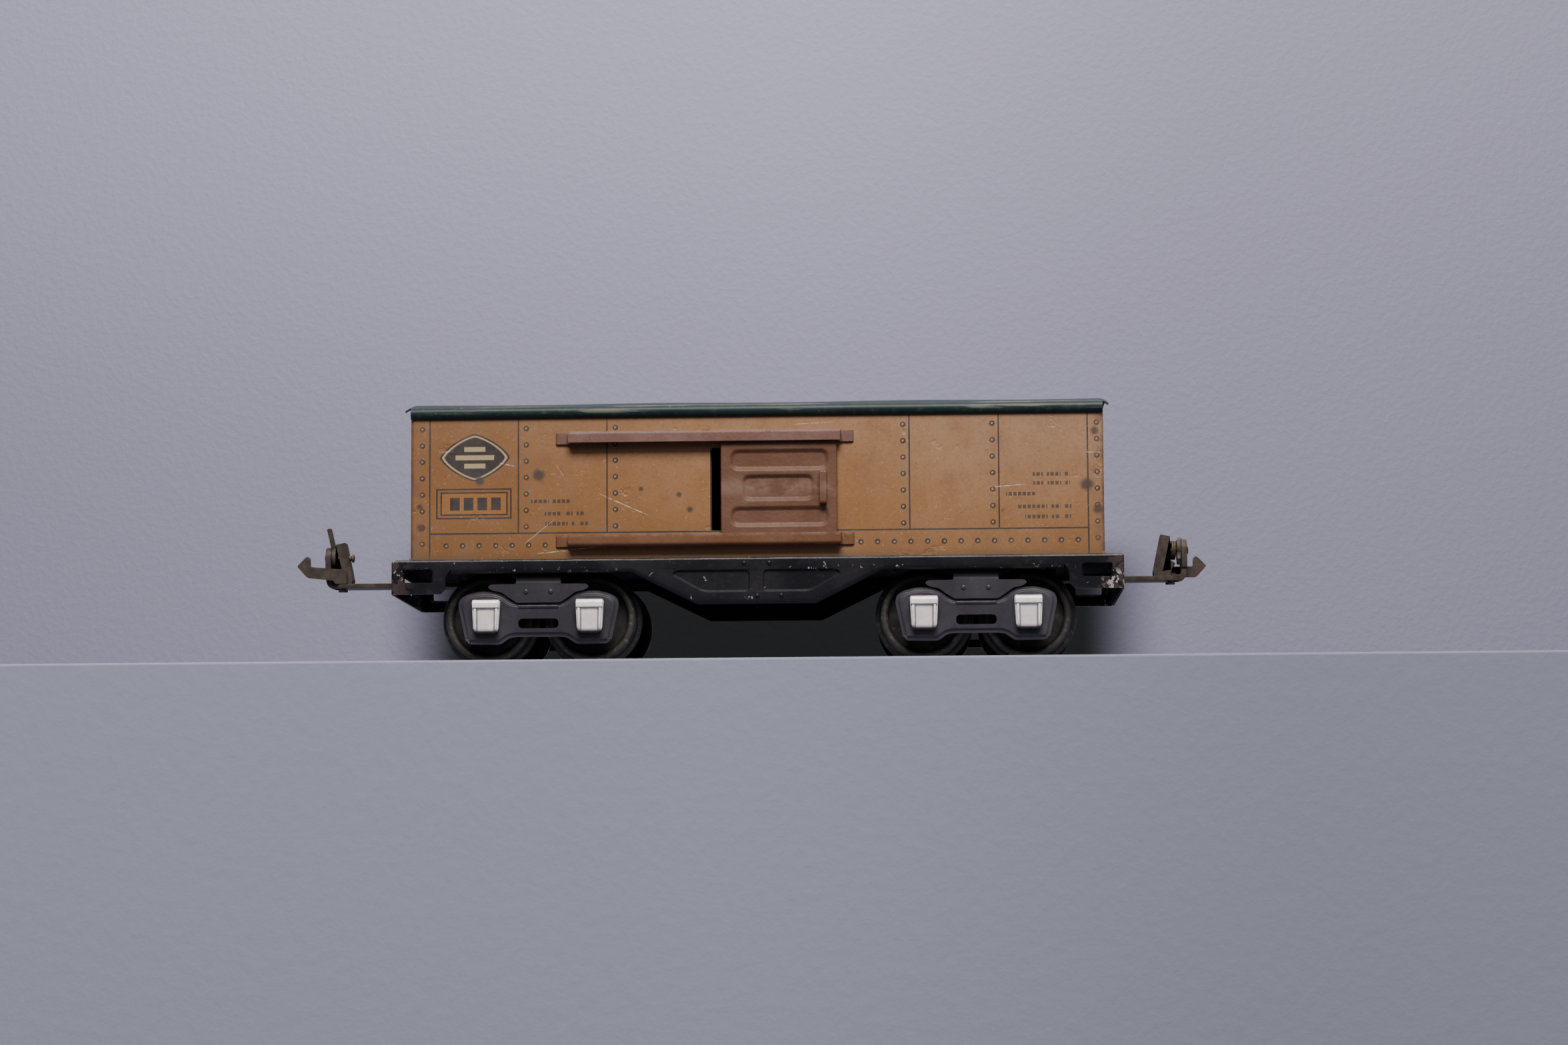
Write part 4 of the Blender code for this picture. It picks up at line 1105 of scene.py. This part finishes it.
bone = both_ways(
    [
        (4.6, 14.5), (6.3, 14.9), (7.8, 16.1), (9.8, 17.0), (13.2, 17.15), (16.1, 16.5),
        (17.8, 15.5), (18.2, 14.0), (16.5, 5.9), (15.9, 5.2), (8.6, 5.1), (6.5, 6.6), (4.9, 6.8),
    ]
)
bone = rounded(bone, 0.7, 3)
plateau = inset(bone, 0.55)
slot = rounded(rectangle(-4.55, 4.55, 8.7, 10.9), 1.05, 5)
bone_sheet = pressed_sheet("truck_side", bone, (), [(plateau, -BONE_RISE, 0.55, (slot,))])
rib = bent_strip("rib", [(-4.6, 13.6), (4.6, 13.6)], 0.5, 0.7, 0, edge=0.22)
put(rib, shift(0, 0, BONE_RISE))
thicken(bone_sheet, TIN)
joined(bone_sheet, rib)
put(bone_sheet, TO_FRONT, shift(0, -SIDE_FACE, 0))

wing_half = [
    (5.05, 21.2), (5.05, 18.75), (10.9, 18.7), (11.5, 18.0), (10.4, 17.3), (8.4, 16.9), (6.6, 15.6),
    (4.9, 14.5),
]
wing_radii = [0, 0.3, 0.5, 0.4, 0.5, 0.5, 0.5, 0.5] * 2
wing = pressed_sheet("wing", rounded(both_ways(wing_half), wing_radii, 3))
bolster_top = quarter_bend((0, 1, 0), (0, 0, -1), 0.7) + [(0, 0, -(WING_FACE - 0.7))]
turn_edge(wing, lambda p: p.y > 21.19, bolster_top)
put(wing, TO_FRONT, shift(0, -WING_FACE, 0))
for vertex in wing.data.vertices:
    vertex.co.y += 0.5 * MM * min(max((vertex.co.z / MM - 18.9) / 1.3, 0), 1)
wing_back = copy_of(wing, "wing_back", HALF_TURN)
joined(wing, wing_back, weld=0.02)
thicken(wing, 0.45)
joined(wing, *domes(((-2.8, 17.0), (2.8, 17.0)), WING_FACE, 0.6, 0.3))
truck_enamel = make_black_enamel("truck_enamel", (0.034, 0.030, 0.037), 0.65, 0.80)
for end_name, sign in ENDS:
    node = f"truck_frame_{end_name}"
    body = f"truck_{end_name}"
    there = shift(sign * truck_x, 0, 0)
    front = copy_of(bone_sheet, f"truck_side_{end_name}_front")
    finish_both(front, body, "black_enamel", truck_enamel, node, there)
    bolster = copy_of(wing, f"truck_bolster_{end_name}", there)
    finish_piece(bolster, body, "black_enamel", truck_enamel, node)
for obj in (bone_sheet, wing):
    bpy.data.objects.remove(obj)

# ---- Axle covers
# Bright nickelled caps over the axle ends: a square box with a raised lid across its top, a
# rib down each side of its face, and a rounded foot.
cover_low, cover_high = size_of("journal_cover_right_outer_front")
cover_width = cover_high.x - cover_low.x
cover_front = cover_low.y
cover_back = -SIDE_FACE - BONE_RISE + 0.1


def make_nickel():
    """Nickel plate, gone a little cloudy and warm, with painted shade in the creases beside its ribs
    and under its lid and on its sunk face.
    Dirt and painted shade darken it near its lower edge, and its foot goes near black there as
    painted shadow.
    """
    n = Finish("nickel")
    cloud = n.patches(2.2, 0.35, 0.4, 2.0)
    n.base = n.blend_colour(cloud, (0.84, 0.77, 0.75), (1.0, 0.96, 0.95))
    n.stain(0.55, 0.62, 0.1, 11.0, (0.34, 0.28, 0.25), 0.45)
    apart = n.least(*(n.size(n.minus(n.x, x)) for x in AXLES_X))
    half = cover_width / 2
    below_lid = n.fade(n.z, cover_high.z - 2.0, cover_high.z - 2.4)
    # Painted shade in the creases beside the ribs and under the lid.
    n.wash(n.times(n.band(apart, half - 1.25, 0.38), below_lid), (0.12, 0.10, 0.09), 0.9)
    n.wash(n.band(n.z, cover_high.z - 2.0, 0.22), (0.14, 0.12, 0.11), 0.5)
    # Painted shade on the sunk face between the ribs, below the lid.
    n.wash(n.times(n.fade(apart, half - 1.35, half - 1.6), below_lid), (0.62, 0.54, 0.52), 0.5)
    # Towards the lower edge, dirt and painted shade darken it, and the underside of the rounded foot
    # is near black as painted shadow.
    n.wash(n.fade(n.z, cover_low.z + 1.5, cover_low.z + 0.8), (0.24, 0.19, 0.15), 0.65)
    n.wash(n.fade(n.z, cover_low.z + 1.0, cover_low.z + 0.6), (0.03, 0.024, 0.020))
    return n.finish(n.blend(cloud, 0.26, 0.36), cloud, 0.25, 0.0001, Metallic=0.10)


nickel = make_nickel()
COVER_FACE = cover_front + 0.62
cover_bottom = [
    (cover_front + 0.70, cover_low.z + 1.5), (cover_front + 0.95, cover_low.z + 0.75),
    (cover_front + 1.5, cover_low.z + 0.25), (cover_back, cover_low.z + 0.35),
]
foot_profile = [(cover_back, cover_high.z - 0.1), (COVER_FACE, cover_high.z - 0.1), *cover_bottom]
cap = put(extruded("axle_cover", foot_profile, cover_width), TO_RIGHT)
soften(cap, 0.5, 3, 30)
lid_path = [
    (cover_back, cover_high.z - 0.25), (cover_front + 0.3, cover_high.z - 0.25),
    (cover_front + 0.3, cover_high.z - 1.85),
]
lid = bent_strip("lid", lid_path, cover_width - 0.35, 0.5, 0.9, 5, 0.2)
put(lid, TO_RIGHT)
ribs = []
for hand in (-1, 1):
    rib_path = [
        (cover_front + 0.45, cover_high.z - 2.0), (cover_front + 0.42, cover_low.z + 2.0),
        (cover_front + 0.75, cover_low.z + 0.8),
    ]
    rib = bent_strip("rib", rib_path, 0.6, 0.6, 0.6, 3, 0.22)
    ribs.append(put(rib, TO_RIGHT, shift(hand * (cover_width / 2 - 0.75), 0, 0)))
joined(cap, lid, *ribs)
for vertex in cap.data.vertices:
    drop = max(cover_high.z - 2.0 - vertex.co.z / MM, 0)
    toe = max(1 - (vertex.co.z / MM - cover_low.z) / 1.7, 0)
    vertex.co.x *= 1 - 0.022 * drop - 0.30 * toe**2
for end_name, sign in ENDS:
    for place_name, x in AXLE_PLACES:
        there = shift(sign * (truck_x + x), 0, 0)
        node = f"journal_cover_{end_name}_{place_name}_front"
        front = copy_of(cap, f"axle_cover_{end_name}_{place_name}_front")
        finish_both(front, f"truck_{end_name}", "nickel_plate", nickel, node, there)
bpy.data.objects.remove(cap)

# ---- Wheels and axles
# Spun tinplate wheels, blackened, with a rolled rim, a dished face and a flange. The tread
# and rim are worn to grey metal. Each pair is pressed on a plain steel axle.
wheel_low, wheel_high = size_of("wheel_right_outer_front")
flange = wheel_high.z - axle_z
face = -wheel_low.y
inner_face = -wheel_high.y
WHEEL_STEPS = 56


def turned(name, profile, steps):
    """A solid turned round the Y axis from points of radius and distance along it."""
    solid = outline_object(name, profile)
    set_mode("EDIT")
    select_mesh()
    bpy.ops.mesh.spin(steps=steps, angle=math.tau, center=(0, 0, 0), axis=(0, 1, 0))
    select_mesh()
    bpy.ops.mesh.remove_doubles(threshold=0.001 * MM)
    bpy.ops.mesh.normals_make_consistent(inside=False)
    set_mode("OBJECT")
    return solid


def make_wheel_steel():
    """Blackened tinplate. Wear, rust and light metal follow the radius of the wheel."""
    n = Finish("wheel_black")
    up = n.minus(n.z, axle_z)
    apart = n.least(*(n.distance(n.minus(n.x, x), up) for x in AXLES_X))
    cloud = n.patches(4.0, 0.3, 0.5, 7.0)
    n.base = n.blend_colour(cloud, (0.014, 0.0125, 0.012), (0.032, 0.028, 0.026))
    rub, noise = n.group(patches, n.place, 5.0, 0.25, 0.4, 17.0)
    on_rim = n.fade(n.plus(apart, n.times(noise, 1.4)), 8.8, 9.5)
    rim = n.times(on_rim, n.blend(rub, 0.45, 1.0))
    n.wash(rim, (0.048, 0.045, 0.040))
    n.wash(n.times(n.patches(1.2, 0.58, 0.05, 57.0), on_rim), (0.14, 0.128, 0.112), 0.6)
    n.stain(2.0, 0.60, 0.08, 37.0, (0.10, 0.065, 0.045), 0.5)
    metal = n.times(rim, 0.3)
    rough = n.blend(cloud, 0.40, 0.58)
    return n.finish(rough, cloud, 0.3, 0.0002, Metallic=metal, Specular_IOR_Level=0.28)


def make_steel(name, colour, dark, roughness, metallic):
    """Bare metal, dulled and stained."""
    n = Finish(name)
    cloud = n.patches(2.4, 0.32, 0.4, 9.0)
    n.base = n.blend_colour(cloud, dark, colour)
    spots = n.stain(0.8, 0.60, 0.1, 29.0, tuple(c * 0.45 for c in dark), 0.5)
    height = n.minus(n.patches(0.5, 0.2, 0.6, 5.0), spots)
    rough = n.blend(cloud, roughness + 0.1, roughness)
    return n.finish(rough, height, 0.25, 0.0001, Metallic=metallic, Specular_IOR_Level=0.25)


hub = 1.26
wheel_section = [
    (hub, face - 1.2), (2.5, face - 1.2), (2.8, face - 1.5), (2.95, face - 2.3), (4.5, face - 2.35),
    (7.3, face - 2.0), (7.9, face - 1.6), (8.15, face - 0.7), (8.35, face - 0.25),
    (8.7, face - 0.02), (9.2, face), (9.6, face - 0.2), (9.85, face - 0.6),
    (9.95, inner_face + 2.0), (10.15, inner_face + 1.55), (10.9, inner_face + 1.3),
    (flange, inner_face + 0.95), (flange - 0.02, inner_face + 0.35), (10.7, inner_face + 0.05),
    (10.3, inner_face + 0.1), (9.7, inner_face + 0.7), (8.6, inner_face + 2.6),
    (hub, inner_face + 2.8),
]
wheel = turned("wheel", wheel_section, WHEEL_STEPS)
put(wheel, Matrix.Diagonal((1, -1, 1, 1)), shift(0, 0, axle_z))
wheel.data.flip_normals()
axle_reach = axle_high.y
axle_round = [(0, axle_reach), (0.9, axle_reach), (1.2, axle_reach - 0.35)]
axle = turned("axle", axle_round + [(r, -y) for r, y in reversed(axle_round)], 32)
put(axle, shift(0, 0, axle_z))
wheel_black = make_wheel_steel()
axle_steel = make_steel("axle_steel", (0.20, 0.18, 0.16), (0.09, 0.075, 0.062), 0.42, 0.6)
for end_name, sign in ENDS:
    for place_name, x in AXLE_PLACES:
        there = shift(sign * (truck_x + x), 0, 0)
        body = f"wheelset_{end_name}_{place_name}"
        node = f"{end_name}_{place_name}"
        front = copy_of(wheel, f"spun_wheel_{node}_front")
        finish_both(front, body, "wheel_steel", wheel_black, f"wheel_{node}_front", there, 40)
        rod = copy_of(axle, f"plain_axle_{node}", there)
        finish_piece(rod, body, "axle_steel", axle_steel, f"axle_{node}")
for obj in (wheel, axle):
    bpy.data.objects.remove(obj)

# ---- Rivets, washers and spacers
# The solids that hold the trucks and drawbars under the floor have their true shapes, so
# they only take their finish.
for end_name in ("left", "right"):
    for node in ("truck_rivet", "truck_washer", "coupler_rivet", "coupler_spacer", "hook_rivet"):
        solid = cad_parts[f"{node}_{end_name}"]
        for material_slot in solid.material_slots:
            material_slot.material = axle_steel

# ---- Couplers
# Each is a steel drawbar with its front end turned up into a round-headed plate, a leaning
# bracket behind it, a flat hook on one side, and a latch lever on a brass pin with a small
# coil. All is bare steel gone brown. They are made for the right-hand end.
coupler_brown = make_steel("coupler_brown", (0.064, 0.048, 0.036), (0.027, 0.020, 0.015), 0.55, 0.15)
BAR_THICK = 1.0
BAR_HALF = 3.4
PIVOT_HOLE = 1.3
HEAD_RADIUS = 2.55
EYE_RADIUS = 2.45
COIL_RADIUS = 1.95
COIL_WIRE = 0.3
COIL_TURNS = 2
dull_brass = make_steel("dull_brass", (0.115, 0.078, 0.042), (0.036, 0.026, 0.018), 0.52, 0.3)


def flat_plate(name, outline, thickness, edge=0.1, holes=()):
    """A flat plate in the XY plane, its middle at zero height."""
    piece = pressed_sheet(name, outline, holes)
    thicken(piece, thickness)
    put(piece, shift(0, 0, thickness / 2))
    soften(piece, edge, 2, 45)
    return piece


for end_name, sign in ENDS:
    turn = HALF_TURN if sign < 0 else Matrix.Identity(4)
    body = f"coupler_{end_name}"

    def reach_of(node, sign=sign):
        """The near and far end of a solid, measured outwards from the car's middle."""
        low, high = size_of(node)
        return sorted((sign * low.x, sign * high.x))

    bar_near, bar_far = reach_of(f"coupler_bar_{end_name}")
    bar_low, bar_high = size_of(f"coupler_bar_{end_name}")
    hook_near, hook_far = reach_of(f"coupler_hook_{end_name}")
    hook_low, hook_high = size_of(f"coupler_hook_{end_name}")
    pin_near, pin_far = reach_of(f"latch_pin_{end_name}")
    pin_low, pin_high = size_of(f"latch_pin_{end_name}")
    pin_z = (pin_low.z + pin_high.z) / 2
    pivot_x = bar_near + 3.5
    plate_x = bar_far - 0.8
    bar_z = bar_low.z + 0.05 + BAR_THICK / 2
    tail = arc(BAR_HALF, 90, 270, 12, pivot_x)
    nose = [(plate_x - 2.6, -BAR_HALF), (plate_x - 0.9, -2.2)]
    nose += [(x, -y) for x, y in reversed(nose)]
    hole = arc(PIVOT_HOLE, 0, 360, 20, pivot_x)[:-1]
    bar = flat_plate(f"drawbar_{end_name}", tail + nose, BAR_THICK, 0.12, (hole,))
    put(bar, shift(0, 0, bar_z))
    upright_x = plate_x + 0.05
    bend_path = [(plate_x - 2.4, bar_z + 0.2), (upright_x, bar_z + 0.2), (upright_x, bar_z + 3.8)]
    bend = put(bent_strip("bend", bend_path, 4.2, 1.4, 2.0, 7, 0.3), TO_FRONT)
    head_foot = [(-HEAD_RADIUS, bar_z + 2.6), (HEAD_RADIUS, bar_z + 2.6)]
    head_outline = head_foot + arc(HEAD_RADIUS, 0, 180, 12, 0, pin_z)
    head = flat_plate("head", head_outline, 1.3, 0.3)
    put(head, TO_RIGHT, shift(plate_x + 0.2, 0, 0))
    rear_foot = bar_far - (5.6 if sign < 0 else 7.1)
    rear_path = [
        (rear_foot + 3.4, bar_z + 0.9), (rear_foot + 0.3, bar_z + 0.9),
        (rear_foot + 2.2, bar_high.z - 0.1),
    ]
    rear = put(bent_strip("rear", rear_path, 4.4, 2.2, 0.9, 5, 0.7), TO_FRONT)
    brace_path = [(rear_foot + 1.4, bar_z + 0.3), (plate_x - 2.6, pin_z - 2.6)]
    brace = put(bent_strip("brace", brace_path, 4.0, 2.0, 0, edge=0.3), TO_FRONT)
    joined(bar, bend, head, rear, brace)
    put(bar, turn)
    finish_piece(bar, body, "coupler_steel", coupler_brown, f"coupler_bar_{end_name}")

    root = hook_near
    shaft_low = hook_low.z + (0.75 if sign < 0 else 0.15)
    tilt = 0.7 if sign < 0 else 0.0
    shaft_high = shaft_low + 2.5
    notch = hook_far - 3.1
    outline = [
        (root, hook_low.z), (root + 2.6, hook_low.z), (root + 3.1, shaft_low),
        (notch + 0.7, shaft_low + tilt), (hook_far, shaft_high + tilt + 0.15),
        (notch + 0.75, hook_high.z - 0.05), (notch + 0.02, hook_high.z - 0.5),
        (notch - 0.1, shaft_high + tilt), (root, shaft_high),
    ]
    radii = [0.2, 0.2, 0.4, 0.5, 0.35, 0.6, 0.4, 0.2, 0.6]
    hook = flat_plate(f"hook_{end_name}", rounded(outline, radii, 4), 0.85, 0.14)
    hook_y = hook_high.y - 0.45 if sign > 0 else -(hook_low.y + 0.45)
    put(hook, TO_FRONT, shift(0, hook_y, 0))
    foot_z = hook_low.z + 0.4
    foot = bent_strip("foot", [(-1.1, foot_z), (hook_y + 0.3, foot_z)], 2.5, 0.7, 0, edge=0.12)
    put(foot, TO_RIGHT, shift(root + 1.3, 0, 0))
    joined(hook, foot)
    put(hook, turn)
    finish_piece(hook, body, "coupler_steel", coupler_brown, f"coupler_hook_{end_name}")

    pin_length = pin_far - pin_near
    pin_profile = [
        (0, 1.0), (0.7, 1.0), (0.95, 1.15), (0.95, 1.5), (0.58, 1.7), (0.58, pin_length - 0.55),
        (0.95, pin_length - 0.5), (0.95, pin_length - 0.35), (0.6, pin_length - 0.15),
        (0, pin_length - 0.15),
    ]
    pin = turned(f"latch_pin_{end_name}_brass", pin_profile, 24)
    put(pin, Matrix.Rotation(math.radians(-90), 4, "Z"), shift(pin_near, 0, pin_z), turn)
    finish_piece(pin, body, "brass", dull_brass, f"latch_pin_{end_name}")

    coil_near, coil_far = reach_of(f"latch_spring_{end_name}")
    start_x, stop_x = coil_near + COIL_WIRE, coil_far - COIL_WIRE
    deselect()
    bpy.ops.curve.primitive_nurbs_path_add()
    coil = made(f"latch_coil_{end_name}")
    coil.data.splines.clear()
    spline = coil.data.splines.new("POLY")
    count = COIL_TURNS * 24
    spline.points.add(count)
    for i in range(count + 1):
        angle = math.tau * COIL_TURNS * i / count
        x = start_x + (stop_x - start_x) * i / count
        across, up = COIL_RADIUS * math.sin(angle), pin_z + COIL_RADIUS * math.cos(angle)
        spline.points[i].co = (x * MM, across * MM, up * MM, 1)
    coil.data.bevel_depth = COIL_WIRE * MM
    coil.data.bevel_resolution = 3
    coil.data.use_fill_caps = True
    only(coil)
    bpy.ops.object.convert(target="MESH")
    coil = bpy.context.object
    set_mode("EDIT")
    select_mesh()
    bpy.ops.mesh.remove_doubles(threshold=0.001 * MM)
    set_mode("OBJECT")
    settle()
    put(coil, turn)
    finish_piece(coil, body, "brass", dull_brass, f"latch_spring_{end_name}", angle=60)

    lever_x = plate_x - 0.95
    lean = 0 if sign < 0 else -52
    strap_path = [
        (lever_x - 0.25, pin_z - 4.9), (lever_x - 0.02, pin_z - 1.0), (lever_x + 0.15, pin_z + 2.2),
        (lever_x + 1.3, pin_z + 7.0) if sign < 0 else (lever_x + 0.5, pin_z + 4.2),
    ]
    lever = bent_strip(f"latch_lever_{end_name}_strap", strap_path, 1.9, 1.0, 1.2, 4, 0.25)
    put(lever, TO_FRONT)
    eye = flat_plate("eye", arc(EYE_RADIUS, 0, 360, 28)[:-1], 0.95, 0.25)
    put(eye, TO_RIGHT, shift(lever_x - 0.05, 0, pin_z))
    joined(lever, eye)
    at_pin = shift(0, 0, pin_z)
    put(lever, at_pin @ Matrix.Rotation(math.radians(lean), 4, "X") @ at_pin.inverted(), turn)
    node = f"latch_lever_{end_name}"
    finish_piece(lever, f"latch_{end_name}", "coupler_steel", coupler_brown, node)

# ---- Shelf, wall and light
# The car stands on the edge of a painted shelf in front of a painted wall, which carries painted
# shade low down and a painted shadow of the car. One broad soft light hangs above and in front of
# it, with a weak fill from the right and a wash on the wall.
SHELF_EDGE = -50.0
CAR_SHADOW_MIDDLE = -47


def make_paint(name, colour, light_end, dark_end, relief, on_wall=False):
    """Rolled wall paint with an orange-peel surface and grit, darkened a little towards the right by
    painted shade. On the wall, painted shade deepens its tone low down, and a dark patch behind the
    car is a painted shadow of the car."""
    n = Finish(name)
    peel = n.patches(3.5, 0.3, 0.5, 1.0)
    n.base = n.blend_colour(n.times(peel, 0.25), colour, tuple(c * 0.95 for c in colour))
    # Painted shade: darker towards the right.
    n.wash(n.fade(n.x, light_end, dark_end), tuple(c * 0.80 for c in colour))
    rough = 0.55
    if on_wall:
        # Painted shade: the wall deepens in tone low down.
        n.wash(n.fade(n.z, 420, 160), (0.195, 0.185, 0.245), 0.6)
        # Painted shadow of the car on the wall: a soft dark patch behind it, made rougher there.
        beside = n.fade(n.size(n.minus(n.x, CAR_SHADOW_MIDDLE)), 215, 165)
        dark = n.times(beside, n.fade(n.z, 150, 118))
        n.wash(dark, (0.005, 0.006, 0.0065))
        rough = n.blend(dark, rough, 0.95)
    height = n.plus(peel, n.patches(2.0, 0.68, 0.04, 3.0))
    return n.finish(rough, height, relief, 0.0006, Specular_IOR_Level=0.25)


deselect()
bpy.ops.mesh.primitive_cube_add(
    size=1, location=(0, 1.2 + SHELF_EDGE * MM, -0.5), scale=(6.0, 2.4, 1.0)
)
shelf = bpy.context.object
shelf.name = "shelf"
settle()
soften(shelf, 0.5, 3, 40)
shelf.data.materials.append(make_paint("shelf_paint", (0.250, 0.265, 0.340), -20.0, 130.0, 0.10))
shelf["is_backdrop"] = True
deselect()
bpy.ops.mesh.primitive_plane_add(size=8, location=(0, 1.15, 1.5), rotation=(math.radians(90), 0, 0))
backdrop = bpy.context.object
backdrop.name = "wall"
settle()
wall_paint = make_paint("wall_paint", (0.258, 0.249, 0.328), -60.0, 230.0, 0.25, on_wall=True)
backdrop.data.materials.append(wall_paint)
backdrop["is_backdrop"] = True


def area_light(name, place, target, width, depth, power, colour):
    bpy.ops.object.light_add(type="AREA", location=place)
    light = bpy.context.object
    light.name = name
    light.data.shape = "RECTANGLE"
    light.data.size = width
    light.data.size_y = depth
    light.data.energy = power
    light.data.color = colour
    light.rotation_euler = (Vector(target) - Vector(place)).to_track_quat("-Z", "Y").to_euler()


area_light("key", (0.05, -0.95, 1.15), (0.0, 0, 0.03), 0.8, 0.55, 39, (1.0, 0.97, 0.95))
area_light("front_fill", (0.80, -1.6, 0.90), (0, 0, 0.03), 0.7, 0.6, 4.5, (0.95, 0.96, 1.0))
area_light("wall_wash", (0.02, 0.55, 1.30), (0.02, 1.15, 0.60), 0.8, 0.3, 25, (1.0, 0.98, 1.0))
world = bpy.data.worlds.new("room")
world.use_nodes = True
world.node_tree.nodes["Background"].inputs[0].default_value = (0.80, 0.80, 0.86, 1)
world.node_tree.nodes["Background"].inputs[1].default_value = 0.10
bpy.context.scene.world = world

low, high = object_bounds()
